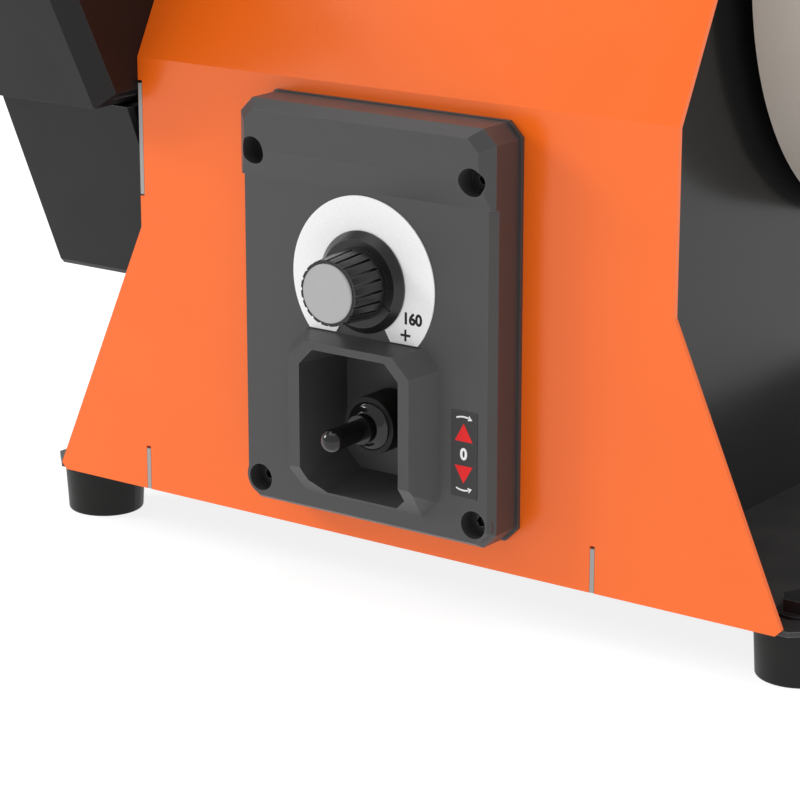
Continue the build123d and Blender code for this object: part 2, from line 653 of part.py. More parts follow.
def control_box_screws():
    """Sunk screws with a hexagon socket, reaching into the board's stand-offs."""
    screws = []
    top = BOX_SCREW_SEAT_Y - 3.5
    for x, z in BOX_SCREWS:
        head = rod_y(BOX_COUNTERBORE_R - 0.2, x, (top, BOX_SCREW_SEAT_Y), z)
        head -= hex_y(3.0, x, (top - 1, top + 2), z)
        screws.append(head + rod_y(BOX_SCREW_R, x, (BOX_SCREW_SEAT_Y - 1, SHEET + 6.0), z))
    return joined(screws)


def control_box_seal():
    """The flat gasket lip between the box and the panel."""
    lip_z = (BOX_Z[0] - 0.5, BOX_Z[1] + 0.5)
    lip = prism_y(octagon(BOX_HALF + 0.7, lip_z, BOX_CUT), (-1.3, -0.01))
    return lip - prism_y(octagon(BOX_HALF, BOX_Z, BOX_CUT), (-5, 5))


def dial_plate():
    """A flat ring sector behind the knob, open at its foot."""
    ring = rod_y(DIAL_R, 0, (BOX_FACE_Y - 0.4, BOX_FACE_Y), DIAL_Z) - rod_y(DIAL_HOLE_R, 0, (-20, 0), DIAL_Z)
    reach = 2 * DIAL_R
    spread = reach * math.tan(math.radians(DIAL_OPEN))
    gap = [(0, DIAL_Z), (spread, DIAL_Z - reach), (-spread, DIAL_Z - reach)]
    keep_clear = block((-40, 40), (-20, 0), (60, DIAL_FOOT_Z))
    return ring - prism_y(gap, (-20, 0)) - keep_clear


def switch_label():
    return block((31.7, 40.9), (BOX_FACE_Y - 0.25, BOX_FACE_Y), (26.2, 52.4))


def speed_resistor():
    """The rotary resistor behind the dial, with the collar that its shaft turns in."""
    body = rod_y(11.0, 0, (BOX_FACE_Y + BOX_WALL, -1.5), DIAL_Z)
    body += rod_y(COLLAR_R, 0, (BOX_FACE_Y, BOX_FACE_Y + BOX_WALL), DIAL_Z)
    body += block((-9, 9), (-6.5, -4.5), (DIAL_Z - 17, DIAL_Z - 8))
    return body - rod_y(KNOB_SHAFT_R + RUNNING, 0, (-20, -5), DIAL_Z)


def knob_shaft():
    return rod_y(KNOB_SHAFT_R, 0, (KNOB_END_Y + 5, -5.5), DIAL_Z)


def knob_skirt():
    """The knob's wide foot, with a pointer line cut into it."""
    face = GRIP_SPAN_Y[1]
    skirt = Pos(0, face + SKIRT / 2, DIAL_Z) * Rot(90, 0, 0) * Cone(SKIRT_R, SKIRT_R - 2.2, SKIRT)
    angle = math.radians(POINTER_ANGLE)
    place = Pos(POINTER_R * math.cos(angle), face + 0.1, DIAL_Z + POINTER_R * math.sin(angle))
    skirt -= place * Rot(0, -POINTER_ANGLE, 0) * Box(4.4, 0.7, 0.8)
    return skirt - rod_y(KNOB_SHAFT_R, 0, (-40, 0), DIAL_Z)


def knob_body():
    """The grip, slightly narrower at its end, with straight grooves all round."""
    length = GRIP_SPAN_Y[1] - GRIP_SPAN_Y[0]
    middle = (GRIP_SPAN_Y[1] + GRIP_SPAN_Y[0]) / 2
    grip = Pos(0, middle, DIAL_Z) * Rot(90, 0, 0) * Cone(GRIP_ROOT_R, GRIP_END_R, length)
    half = FLUTE_WIDTH / 2
    groove = block((FLUTE_FLOOR_R, FLUTE_FLOOR_R + 5), (-40, GRIP_SPAN_Y[1] - 2), (-half, half))
    for turn in range(FLUTES):
        grip -= Pos(0, 0, DIAL_Z) * Rot(0, 360.0 * turn / FLUTES, 0) * groove
    grip -= rod_y(CAP_R, 0, (-40, KNOB_END_Y + CAP), DIAL_Z)
    return grip - rod_y(KNOB_SHAFT_R, 0, (KNOB_END_Y + 5, 0), DIAL_Z)


def knob_cap():
    cap = rod_y(CAP_R, 0, (KNOB_END_Y, KNOB_END_Y + CAP), DIAL_Z)
    return chamfer(cap.edges().sort_by(Axis.Y)[0], 0.3)


# --- direction switch ---------------------------------------------------------------------
def switch_boot():
    """The rubber seal ring that the lever comes out of."""
    boot = rod_y(BOOT_R, 0, (BOOT_END_Y, RECESS_FLOOR_Y), SWITCH_Z)
    boot -= Pos(0, -7.5, SWITCH_Z) * Rot(90, 0, 0) * Cone(BOOT_BORE_R, 7.0, 8.4)
    return boot - rod_y(BOOT_BORE_R, 0, (-5, 2), SWITCH_Z)


def switch_body():
    """The three-position switch with its six terminals."""
    body = block((-7, 7), (TUB_BACK_Y, 22), (SWITCH_Z - 9, SWITCH_Z + 9))
    body += rod_y(BOOT_R - 3.1, 0, (RECESS_FLOOR_Y, TUB_BACK_Y), SWITCH_Z)
    body -= rod_y(4.2, 0, (-2, 5), SWITCH_Z)
    for x in (-4, 4):
        for z in (-6, 0, 6):
            body += block((x - 0.4, x + 0.4), (22, 29), (SWITCH_Z + z - 1.5, SWITCH_Z + z + 1.5))
    return body


def switch_lever():
    """The lever in its rubber sleeve, with a round tip."""
    tip = LEVER_END_Y + LEVER_TIP_R
    lever = rod_y(LEVER_R, 0, (tip, -12), SWITCH_Z)
    lever += Pos(0, tip, SWITCH_Z) * Sphere(LEVER_TIP_R)
    lever += rod_y(LEVER_NECK_R, 0, (-16.5, -11.0), SWITCH_Z)
    lever += Pos(0, -7.5, SWITCH_Z) * Rot(90, 0, 0) * Cone(3.0, LEVER_NECK_R, 7.0)
    lever += rod_x(LEVER_PIN_R, (-4, 4), SWITCH_PIVOT_Y, SWITCH_Z)
    return lever + Pos(0, SWITCH_PIVOT_Y, SWITCH_Z) * Sphere(3.2)


# --- electronics --------------------------------------------------------------------------
def board_standoffs():
    posts = []
    for x, z in BOX_SCREWS:
        post = hex_y(8.0, x, (SHEET, BOARD_Y[0]), z)
        posts.append(post - rod_y(BOX_SCREW_R, x, (0, SHEET + 8), z))
    return joined(posts)


def control_board():
    return block((-45, 45), BOARD_Y, (12, 127))


def board_parts():
    """The tall parts on the board: capacitors, a choke, a relay and terminal blocks."""
    back = BOARD_Y[1]
    parts = [rod_y(8.0, x, (back, back + 25), 112) for x in (-32, -13)]
    parts.append(rod_y(10.0, 22, (back, back + 12), 110) - rod_y(5.0, 22, (back, back + 20), 110))
    parts.append(block((-40, -22), (back, back + 14), (62, 84)))
    parts += [block((x, x + 9), (back, back + 11), (16, 26)) for x in (-40, -29, -18, -7)]
    return joined(parts)


def heat_sink():
    """A finned aluminium block on the power device."""
    back = BOARD_Y[1]
    sink = block((8, 40), (back, back + 4), (34, 84))
    for index in range(6):
        x = 8 + index * 6.0
        sink += block((x, x + 2), (back + 3, back + 24), (34, 84))
    return sink


# --- cable entry --------------------------------------------------------------------------
def cable_gland():
    """The entry for the mains lead, with its domed clamping nut outside."""
    gland = rod_y(GLAND_THREAD_R, GLAND_X, (REAR_Y - 7, REAR_Y + SHEET + 2), GLAND_Z)
    gland += hex_y(GLAND_FLATS, GLAND_X, (REAR_Y + SHEET, REAR_Y + SHEET + 5), GLAND_Z)
    dome = rod_y(9.5, GLAND_X, (REAR_Y + SHEET + 5, REAR_Y + SHEET + 15), GLAND_Z)
    gland += fillet(dome.edges().sort_by(Axis.Y)[-1], 3.0)
    return gland - rod_y(GLAND_BORE_R, GLAND_X, (REAR_Y - 10, REAR_Y + 30), GLAND_Z)


def gland_nut():
    nut = hex_y(GLAND_FLATS, GLAND_X, (REAR_Y - 4, REAR_Y), GLAND_Z)
    return nut - rod_y(GLAND_THREAD_R, GLAND_X, (REAR_Y - 10, REAR_Y + 5), GLAND_Z)


# --- stone guard and water tray -----------------------------------------------------------
def guard_ring(inset, drop_front):
    """A horizontal outline of the guard, moved in by a wall and forward by the lean."""
    x0, x1 = GUARD_X[0] + inset, GUARD_X[1] - inset
    front, back = GUARD_FRONT_Y + inset - drop_front, GUARD_BACK_Y - inset
    cut = GUARD_BEVEL - 0.4 * inset
    left = [(x0, back), (x0, front + cut), (x0 + cut, front)]
    return left + [(x1 - cut, front), (x1, front + cut), (x1, back)]


def guard_solid(inset, z):
    """The guard's outer or inner form: its front wall leans out as it rises."""
    faces = []
    for level in z:
        lean = (level - GUARD_Z[0]) * math.tan(math.radians(GUARD_LEAN))
        back_lean = (level - GUARD_Z[0]) * GUARD_BACK_LEAN / GUARD_RISE
        ring = guard_ring(inset, lean)
        ring = [(x, y + back_lean) if y > GUARD_BACK_Y / 2 else (x, y) for x, y in ring]
        faces.append(make_face(Polyline(*[(x, y, level) for x, y in ring], close=True)).face())
    return loft(faces, ruled=True)


def stone_guard():
    """The splash guard: four walls round the stone, open above it and below it."""
    guard = guard_solid(0, GUARD_Z) - guard_solid(WALL, (GUARD_Z[0] - 1, GUARD_Z[1] + 1))
    lip_x, lip_z = (GUARD_X[0] + 2, GUARD_X[1] - 2), (GUARD_Z[0], GUARD_Z[0] + WALL)
    guard += block(lip_x, (GUARD_FRONT_Y + 2, GUARD_LIP_Y), lip_z) & guard_solid(0, GUARD_Z)
    below, beside = GUARD_Z[0] - 1, GUARD_X[1] + 8
    raised_edge = [(GUARD_EDGE_X[0], below), (beside, below), (beside, GUARD_EDGE_Z),
                   (GUARD_EDGE_X[1], GUARD_EDGE_Z), (GUARD_EDGE_X[0], GUARD_Z[0])]
    guard -= prism_y(raised_edge, (-40, 300))
    left, right = (GUARD_X[0] - 1, GUARD_X[0] + 5), (GUARD_X[1] - 7, GUARD_X[1] + 8)
    slot_y, slot_foot = (AXLE_Y - GUARD_SLOT_R, AXLE_Y + GUARD_SLOT_R), AXLE_Z - GUARD_SLOT_R
    guard -= rod_x(GUARD_SLOT_R, right, AXLE_Y, AXLE_Z)
    guard -= block(left, slot_y, (slot_foot, GUARD_Z[1] + 15))
    guard -= rod_x(GUARD_SLOT_R, left, AXLE_Y, slot_foot)
    for y in GUARD_SCREW_Y:
        guard -= rod_x(GUARD_SCREW_R, right, y, GUARD_SCREW_Z)
    return guard


def tray_corner():
    """The slanted cut along the tray's front right corner."""
    lean = (TRAY_FOOT[0] - TRAY_FRONT_Y) / (TRAY_RIM_Z - TRAY_FOOT[1])
    faces = []
    for level in (TRAY_RIM_Z + 1, TRAY_FLOOR_Z - 8):
        y = TRAY_FRONT_Y + (TRAY_RIM_Z - level) * lean
        ring = [(TRAY_X[1] - 4, y - 6), (TRAY_X[1] + 2, y - 6), (TRAY_X[1] + 2, y + 6)]
        faces.append(make_face(Polyline(*[(x, y, level) for x, y in ring], close=True)).face())
    return loft(faces, ruled=True)


def water_tray():
    """An open tray whose ends lean outwards; its rim stands just under the guard."""
    inside = offset_path(TRAY_SIDE, TRAY_WALL)
    above = TRAY_RIM_Z + 3
    inside = [(inside[0][0] - 1.2, above)] + inside[1:-1] + [(inside[-1][0] + 1.2, above)]
    hollow_x = (TRAY_X[0] + TRAY_WALL, TRAY_X[1] - TRAY_WALL - 1.5)
    return prism_x(TRAY_SIDE, TRAY_X) - tray_corner() - prism_x(inside, hollow_x)


def tray_magnets():
    """Two disc magnets on the side plate that hold the steel-backed tray up."""
    span = (LEFT_PLATE_X[0] - 2.0, LEFT_PLATE_X[0])
    return joined([rod_x(TRAY_MAGNET_R, span, y, TRAY_MAGNET_Z) for y in TRAY_MAGNET_Y])


# --- tool support bar ---------------------------------------------------------------------
def support_sleeves():
    """The two guides that the bar's legs slide in, each with a collar on the cover."""
    sleeves = []
    for x in BAR_LEG_X:
        sleeve = rod_z(SLEEVE_R, x, BAR_Y, SLEEVE_Z)
        sleeve += rod_z(SLEEVE_COLLAR_R, x, BAR_Y, (COVER_TOP_Z, COVER_TOP_Z + 4))
        sleeve -= rod_z(BAR_R + RUNNING, x, BAR_Y, (240, 320))
        sleeves.append(sleeve - rod_y(CLAMP_R + RUNNING, x, (80, BAR_Y), CLAMP_Z))
    return joined(sleeves)


def sleeve_nuts():
    """Large hexagon nuts that hold the sleeves under the cover."""
    span = (COVER_TOP_Z - SHEET - 8, COVER_TOP_Z - SHEET)
    return joined([hex_z(27.0, x, BAR_Y, span) - rod_z(SLEEVE_R, x, BAR_Y, (200, 300)) for x in BAR_LEG_X])


def support_bar():
    """One bent round bar: two legs, a bridge between them and an arm over the stone."""
    bar = rod_x(BAR_R, (BAR_END_X, BAR_LEG_X[1]), BAR_Y, BAR_Z)
    bar = chamfer(bar.edges().filter_by(GeomType.CIRCLE), 0.8)
    for x in BAR_LEG_X:
        bar += rod_z(BAR_R, x, BAR_Y, (BAR_LEG_FOOT_Z, BAR_Z))
    bar += rod_x(BAR_BOSS_R, BAR_BOSS_X, BAR_Y, BAR_Z)
    return bar + Pos(BAR_LEG_X[1], BAR_Y, BAR_Z) * Sphere(BAR_R)


def clamp_knob(x):
    """A lobed hand knob on a screw that bears on the bar's leg."""
    knob = rod_y(CLAMP_KNOB_R, x, CLAMP_KNOB_Y, CLAMP_Z)
    circle = CLAMP_KNOB_R + 1.4
    for turn in range(6):
        angle = math.radians(60.0 * turn)
        knob -= rod_y(3.6, x + circle * math.cos(angle), (50, 80), CLAMP_Z + circle * math.sin(angle))
    knob += rod_y(7.0, x, (CLAMP_KNOB_Y[1], CLAMP_KNOB_Y[1] + 5), CLAMP_Z)
    return knob + rod_y(CLAMP_R, x, (CLAMP_KNOB_Y[0] + 4, BAR_Y - BAR_R - 0.3), CLAMP_Z)


# --- carrying handle ----------------------------------------------------------------------
def handle_frame():
    """Two steel posts with a tab each on the cover, joined by the rod inside the grip."""
    frame = rod_x(HANDLE_ROD_R, (GRIP_X[0] - 6, GRIP_X[1] + 6), GRIP_Y, GRIP_Z)
    depth = (GRIP_Y - HANDLE_POST_R, GRIP_Y + HANDLE_POST_R)
    for x, outward in ((GRIP_X[0], -1), (GRIP_X[1], 1)):
        upright = sorted((x, x + outward * HANDLE_SHEET))
        frame += block(upright, depth, (COVER_TOP_Z, GRIP_Z))
        frame += rod_x(HANDLE_POST_R, upright, GRIP_Y, GRIP_Z)
        frame += rod_x(5.5, sorted((x, x + outward * 7.0)), GRIP_Y, GRIP_Z)
        frame += block(sorted((x, x + outward * 20.0)), depth, (COVER_TOP_Z, HANDLE_TAB_Z))
    return frame


def handle_grip():
    """The rubber grip between the posts, with shallow rings along it."""
    grip = rod_x(11.0, GRIP_X, GRIP_Y, GRIP_Z)
    for index in range(9):
        x = GRIP_X[0] + 14 + index * 8.0
        grip -= tube_x(12.0, 10.4, (x, x + 2.0), GRIP_Y, GRIP_Z)
    return grip - rod_x(HANDLE_ROD_R, (-100, 100), GRIP_Y, GRIP_Z)


# --- button-head screws -------------------------------------------------------------------
def button_screws():
    """The heads of the round screws on the back sheet, the handle's tabs and the guard."""
    tab, wall = HANDLE_TAB_Z, GUARD_X[1] - WALL
    on_back = (REAR_Y + SHEET, REAR_Y + SHEET + BUTTON_HEIGHT)
    screws = [rod_y(BUTTON_R, x, on_back, z) for x in (-88.0, 62.0) for z in (20.0, 172.0)]
    for x in (GRIP_X[0] - 13.0, GRIP_X[1] + 13.0):
        screws += [rod_z(BUTTON_R, x, GRIP_Y + y, (tab, tab + BUTTON_HEIGHT)) for y in (-5.0, 5.0)]
    for y in GUARD_SCREW_Y:
        shank = rod_x(GUARD_SCREW_R, (wall, GUARD_X[1]), y, GUARD_SCREW_Z)
        screws.append(rod_x(BUTTON_R, (wall - BUTTON_HEIGHT, wall), y, GUARD_SCREW_Z) + shank)
    return joined(screws)


# --- write the parts ----------------------------------------------------------------------
NODES = {
    "base_plate": base_plate,
    "front_cover": front_cover,
    "rear_cover": rear_cover,
    "left_side_plate": lambda: side_plate(LEFT_PLATE_X, True),
    "right_side_plate": lambda: side_plate(RIGHT_PLATE_X, False),
    "rubber_feet": rubber_feet,
    "foot_bolts": foot_bolts,
    "button_screws": button_screws,
    "bearing_housings": bearing_housings,
    "housing_screws": housing_screws,
    "shaft_bushes": shaft_bushes,
    "main_shaft": main_shaft,
    "grinding_stone": grinding_stone,
    "stone_flanges": stone_flanges,
    "stone_nut": stone_nut,
    "honing_core": honing_core,
    "honing_band": honing_band,
    "honing_flange": honing_flange,
    "honing_knob": honing_knob,
    "drive_wheel": drive_wheel,
    "drive_tyre": drive_tyre,
    "shaft_collars": shaft_collars,
    "motor_case": motor_case,
    "motor_caps": motor_caps,
    "motor_magnets": motor_magnets,
    "motor_cradle": motor_cradle,
    "rotor_core": rotor_core,
    "rotor_shaft": rotor_shaft,
    "drive_roller": drive_roller,
    "pivot_pin": pivot_pin,
    "cradle_spring": cradle_spring,
    "control_box": control_box,
    "control_box_screws": control_box_screws,
    "control_box_seal": control_box_seal,
    "dial_plate": dial_plate,
    "switch_label": switch_label,
    "speed_resistor": speed_resistor,
    "knob_shaft": knob_shaft,
    "knob_skirt": knob_skirt,
    "knob_body": knob_body,
    "knob_cap": knob_cap,
    "switch_boot": switch_boot,
    "switch_body": switch_body,
    "switch_lever": switch_lever,
    "board_standoffs": board_standoffs,
    "control_board": control_board,
    "board_parts": board_parts,
    "heat_sink": heat_sink,
    "cable_gland": cable_gland,
    "gland_nut": gland_nut,
    "stone_guard": stone_guard,
    "water_tray": water_tray,
    "tray_magnets": tray_magnets,
    "support_sleeves": support_sleeves,
    "sleeve_nuts": sleeve_nuts,
    "support_bar": support_bar,
    "clamp_knob_left": lambda: clamp_knob(BAR_LEG_X[0]),
    "clamp_knob_right": lambda: clamp_knob(BAR_LEG_X[1]),
    "handle_frame": handle_frame,
    "handle_grip": handle_grip,
}


def footprint(shapes):
    """The middle of the whole machine in X and Y."""
    boxes = [shape.bounding_box() for shape in shapes]
    middle_x = (min(b.min.X for b in boxes) + max(b.max.X for b in boxes)) / 2
    middle_y = (min(b.min.Y for b in boxes) + max(b.max.Y for b in boxes)) / 2
    return middle_x, middle_y


shapes = {name: make() for name, make in NODES.items()}
MIDDLE = footprint(shapes.values())
for name, shape in shapes.items():
    export_step(Pos(-MIDDLE[0], -MIDDLE[1], -FOOT_FLOOR) * shape, f"parts/{name}.step")
print(len(shapes), "nodes; footprint middle", MIDDLE, "motor axis", MOTOR_Y, MOTOR_Z)
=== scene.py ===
# %% [markdown]
# A bench grinder with a water-cooled stone on its left and a honing wheel on its right.
# The steel body, the wheels and every moving part come packed as a fixed frame, with each part in
# its true place in metres. This notebook adds what the frame lacks: light, a camera, finishes, the
# rubber skin round the switch lever, and the small printed marks. The frame is loaded first,
# because everything after it is placed from it.

# %% Load the frame
import json
import math
import bpy
import bmesh
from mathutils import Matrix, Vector


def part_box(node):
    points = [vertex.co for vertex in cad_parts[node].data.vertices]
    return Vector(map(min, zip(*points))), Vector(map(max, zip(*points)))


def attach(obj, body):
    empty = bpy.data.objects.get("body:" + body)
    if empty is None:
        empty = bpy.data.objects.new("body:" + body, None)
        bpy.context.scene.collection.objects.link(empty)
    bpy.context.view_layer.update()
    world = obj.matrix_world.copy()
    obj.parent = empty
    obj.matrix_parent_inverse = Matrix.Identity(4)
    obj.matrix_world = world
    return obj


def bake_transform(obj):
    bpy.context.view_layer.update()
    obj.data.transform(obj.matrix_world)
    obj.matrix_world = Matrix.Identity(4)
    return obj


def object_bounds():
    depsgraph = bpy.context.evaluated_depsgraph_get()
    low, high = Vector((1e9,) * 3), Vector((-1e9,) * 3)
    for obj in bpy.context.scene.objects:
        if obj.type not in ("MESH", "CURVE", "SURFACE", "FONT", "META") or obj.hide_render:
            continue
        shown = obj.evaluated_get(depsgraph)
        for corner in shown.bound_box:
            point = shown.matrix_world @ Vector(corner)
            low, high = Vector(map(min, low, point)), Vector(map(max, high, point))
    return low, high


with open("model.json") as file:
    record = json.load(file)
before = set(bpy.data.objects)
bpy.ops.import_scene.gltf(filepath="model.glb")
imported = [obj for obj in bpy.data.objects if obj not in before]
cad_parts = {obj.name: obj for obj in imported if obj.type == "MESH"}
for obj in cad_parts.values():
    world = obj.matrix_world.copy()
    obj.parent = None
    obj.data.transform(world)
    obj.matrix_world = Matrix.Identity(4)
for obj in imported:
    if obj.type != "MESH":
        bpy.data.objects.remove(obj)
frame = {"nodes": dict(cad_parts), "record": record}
CAD_BOX = [list(corner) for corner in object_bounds()]
print("box", [[round(value, 4) for value in corner] for corner in CAD_BOX])

# %% [markdown]
# The maker measures everything in millimetres from the foot of the orange front panel: x from the
# panel's middle, y back from its front face, z up from its lower edge. Reading that point from the
# panel itself, and not typing it in, keeps the marks in place if the machine grows by a millimetre.

# %% The maker's own zero
MM = 0.001
cover_low, cover_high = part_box("front_cover")
ZERO = Vector(((cover_low.x + cover_high.x) / 2, cover_low.y, cover_low.z))


def at(x, y, z):
    """A point on the maker's drawing, in millimetres, as a place in the scene."""
    return ZERO + Vector((x, y, z)) * MM


print("panel foot stands at", [round(value, 4) for value in ZERO])

# %% [markdown]
# The camera stands in front of the machine, to its right and a little above it, and looks at the
# control box. A long lens from most of a metre away keeps the upright edges nearly parallel. Depth
# of field stays off, so every edge is sharp.

# %% Camera
CAMERA_PLACE = at(511.9, -702.1, 299.9)
CAMERA_TURN = 35.93
CAMERA_PITCH = 16.26
CAMERA_LENS = 135.1
SENSOR_WIDTH = 36.0
CAMERA_CLIP = (0.05, 60.0)


def make_camera():
    """A long-lens camera that looks at the control box from the right."""
    data = bpy.data.cameras.new("camera")
    camera = bpy.data.objects.new("camera", data)
    bpy.context.scene.collection.objects.link(camera)
    camera.location = CAMERA_PLACE
    camera.rotation_euler = (math.radians(90 - CAMERA_PITCH), 0, math.radians(CAMERA_TURN))
    data.lens = CAMERA_LENS
    data.sensor_width = SENSOR_WIDTH
    data.clip_start, data.clip_end = CAMERA_CLIP
    bpy.context.scene.camera = camera
    return camera


camera = make_camera()
print("camera", [round(value, 3) for value in camera.location], "lens", camera.data.lens)

# %% [markdown]
# Glossy paint and smooth plastic show the room as much as their own colour. A plain pale room on
# all sides and a wide white floor give the paint its soft veil. The floor glows like a light table,
# so that shadows under the machine stay faint. One softbox overhead lights the upper bevels. A
# smaller one stands far out on the left, where the panel's upper slope doesn't mirror it into the
# camera, and gives the shapes their direction.

# %% Floor, room and lights
ROOM_COLOUR = (1.0, 1.0, 1.0, 1.0)
ROOM_STRENGTH = 0.66
FLOOR_HALF = 30.0
FLOOR_COLOUR = (0.30, 0.30, 0.30, 1.0)
FLOOR_GLOW = 0.84
FLOOR_ROUGHNESS = 0.9
FLOOR_SHINE = 0.1
SOFTBOXES = [
    ("overhead", at(-100, 0, 1600), at(0, 60, 100), 1.4, 7.0),
    ("front_left", at(-1500, -750, 850), at(0, 0, 80), 0.5, 13.0),
]


def make_room():
    """A white world, because most of what the gloss shows is the room."""
    world = bpy.data.worlds.new("room")
    world.use_nodes = True
    background = world.node_tree.nodes["Background"]
    background.inputs["Color"].default_value = ROOM_COLOUR
    background.inputs["Strength"].default_value = ROOM_STRENGTH
    bpy.context.scene.world = world


def make_floor():
    """A wide pale floor, level with the soles of the feet."""
    mesh = bpy.data.meshes.new("floor")
    corners = [(-1, -1), (1, -1), (1, 1), (-1, 1)]
    low = CAD_BOX[0][2]
    points = [(x * FLOOR_HALF, y * FLOOR_HALF, low) for x, y in corners]
    mesh.from_pydata(points, [], [(0, 1, 2, 3)])
    floor = bpy.data.objects.new("floor", mesh)
    bpy.context.scene.collection.objects.link(floor)
    material = bpy.data.materials.new("floor_paper")
    material.use_nodes = True
    shader = material.node_tree.nodes["Principled BSDF"]
    shader.inputs["Base Color"].default_value = FLOOR_COLOUR
    shader.inputs["Roughness"].default_value = FLOOR_ROUGHNESS
    shader.inputs["Specular IOR Level"].default_value = FLOOR_SHINE
    shader.inputs["Emission Color"].default_value = ROOM_COLOUR
    shader.inputs["Emission Strength"].default_value = FLOOR_GLOW
    mesh.materials.append(material)
    return floor


def make_softbox(name, place, target, size, power):
    """A square area light at a place, facing a target."""
    data = bpy.data.lights.new(name, "AREA")
    data.size = size
    data.energy = power
    light = bpy.data.objects.new(name, data)
    bpy.context.scene.collection.objects.link(light)
    light.location = place
    light.rotation_euler = (target - place).to_track_quat("-Z", "Y").to_euler()
    return light


make_room()
floor = make_floor()
print(floor.name, "at height", round(floor.data.vertices[0].co.z, 4))
for softbox in SOFTBOXES:
    light = make_softbox(*softbox)
    print("light", light.name, "power", light.data.energy)
bpy.context.scene.view_settings.view_transform = "Standard"

# %% [markdown]
# Blender builds a finish from shader nodes. Some effects are needed by many finishes: the fine
# texture of a moulded or sprayed surface, the rubbed edges with their painted highlight, the dust
# on level tops, and the fine rings that a lathe leaves. Each is built once as a node group with its
# own inputs and outputs, and every material then sets its own values. A short helper keeps the
# wiring readable.

# %% Helpers for nodes
def add_node(tree, kind, **settings):
    """A new node with its settings filled in."""
    made = tree.nodes.new(kind)
    for key, value in settings.items():
        setattr(made, key, value)
    return made


def new_group(name, inputs, outputs):
    """An empty node group with named sockets, and its input and output nodes."""
    group = bpy.data.node_groups.new(name, "ShaderNodeTree")
    for label, kind, value in inputs:
        socket = group.interface.new_socket(label, in_out="INPUT", socket_type=kind)
        socket.default_value = value
    for label, kind in outputs:
        group.interface.new_socket(label, in_out="OUTPUT", socket_type=kind)
    return group, group.nodes.new("NodeGroupInput"), group.nodes.new("NodeGroupOutput")


def math_node(tree, operation, first, second=None, clamp=False):
    """A Math node: each input is a socket or a number."""
    made = add_node(tree, "ShaderNodeMath", operation=operation, use_clamp=clamp)
    for index, value in enumerate((first, second)):
        if isinstance(value, (int, float)):
            made.inputs[index].default_value = value
        elif value is not None:
            tree.links.new(value, made.inputs[index])
    return made.outputs[0]


def noise_node(tree, coordinates, scale, detail=2.0, roughness=0.5):
    """A Noise Texture on some coordinates, whose scale may be a socket."""
    made = add_node(tree, "ShaderNodeTexNoise")
    made.inputs["Detail"].default_value = detail
    made.inputs["Roughness"].default_value = roughness
    tree.links.new(coordinates, made.inputs["Vector"])
    if isinstance(scale, (int, float)):
        made.inputs["Scale"].default_value = scale
    else:
        tree.links.new(scale, made.inputs["Scale"])
    return made.outputs["Fac"]


FLOAT = "NodeSocketFloat"
print("helpers ready")

# %% [markdown]
# Grain: a moulded or powder-coated surface is never quite flat. One noise at the size of the grain
# gives its height, and a second, forty times larger, gives slow changes of tone. Both are three
# dimensional and use the part's own coordinates, so they need no unwrapping and follow the part.

# %% Group: surface grain
TONE_COARSER = 40.0


def make_grain():
    """Height and tone of a fine, even surface texture."""
    group, start, end = new_group(
        "surface_grain",
        [("Grains per metre", FLOAT, 1500.0)],
        [("Height", FLOAT), ("Tone", FLOAT)],
    )
    place = add_node(group, "ShaderNodeTexCoord").outputs["Object"]
    grains = start.outputs["Grains per metre"]
    fine = noise_node(group, place, grains, 3.0)
    broad = noise_node(group, place, math_node(group, "DIVIDE", grains, TONE_COARSER), 3.0)
    group.links.new(fine, end.inputs["Height"])
    group.links.new(broad, end.inputs["Tone"])
    return group


grain_group = make_grain()
print("group", grain_group.name, [node.bl_idname for node in grain_group.nodes])

# %% [markdown]
# Rubbed edges and a painted highlight: hands and boxes wear the outer corners of a machine first,
# and a rounded edge catches a thin line of light. Cycles' Bevel node gives the normal that a
# rounded corner would have. Where that differs from the true normal there is an edge, outer or
# inner, and a noise breaks the line up. The lighter tone laid there is partly wear and partly a
# painted highlight.

# %% Group: rubbed edges and painted highlight
def make_edge_wear_and_highlight():
    """A mask for worn edges and a painted edge highlight: strong along edges and 0 on flat faces.
    """
    group, start, end = new_group(
        "rubbed_edges_and_highlight",
        [("Width", FLOAT, 0.0006), ("Strength", FLOAT, 6.0)],
        [("Mask", FLOAT)],
    )
    bevel = add_node(group, "ShaderNodeBevel", samples=4)
    group.links.new(start.outputs["Width"], bevel.inputs["Radius"])
    normal = add_node(group, "ShaderNodeNewGeometry").outputs["Normal"]
    dot = add_node(group, "ShaderNodeVectorMath", operation="DOT_PRODUCT")
    group.links.new(bevel.outputs["Normal"], dot.inputs[0])
    group.links.new(normal, dot.inputs[1])
    # Lighter along every edge, outer and inner alike: partly wear, partly a painted highlight for
    # the light a rounded edge catches.
    away = math_node(group, "SUBTRACT", 1.0, dot.outputs["Value"])
    strong = math_node(group, "MULTIPLY", away, start.outputs["Strength"])
    place = add_node(group, "ShaderNodeTexCoord").outputs["Object"]
    patches = noise_node(group, place, 120.0, 4.0)
    broken = math_node(group, "MULTIPLY", strong, patches, clamp=True)
    group.links.new(broken, end.inputs["Mask"])
    return group


edge_wear_and_highlight_group = make_edge_wear_and_highlight()
print("group", edge_wear_and_highlight_group.name, "inputs", [s.name for s in edge_wear_and_highlight_group.interface.items_tree])

# %% [markdown]
# Settled dust: grinding makes dust, and it lies on faces that look up. The part's own normal says
# which those are, and a noise makes the layer patchy. The mask is mixed in faintly: a machine that
# is wiped down still keeps a trace.

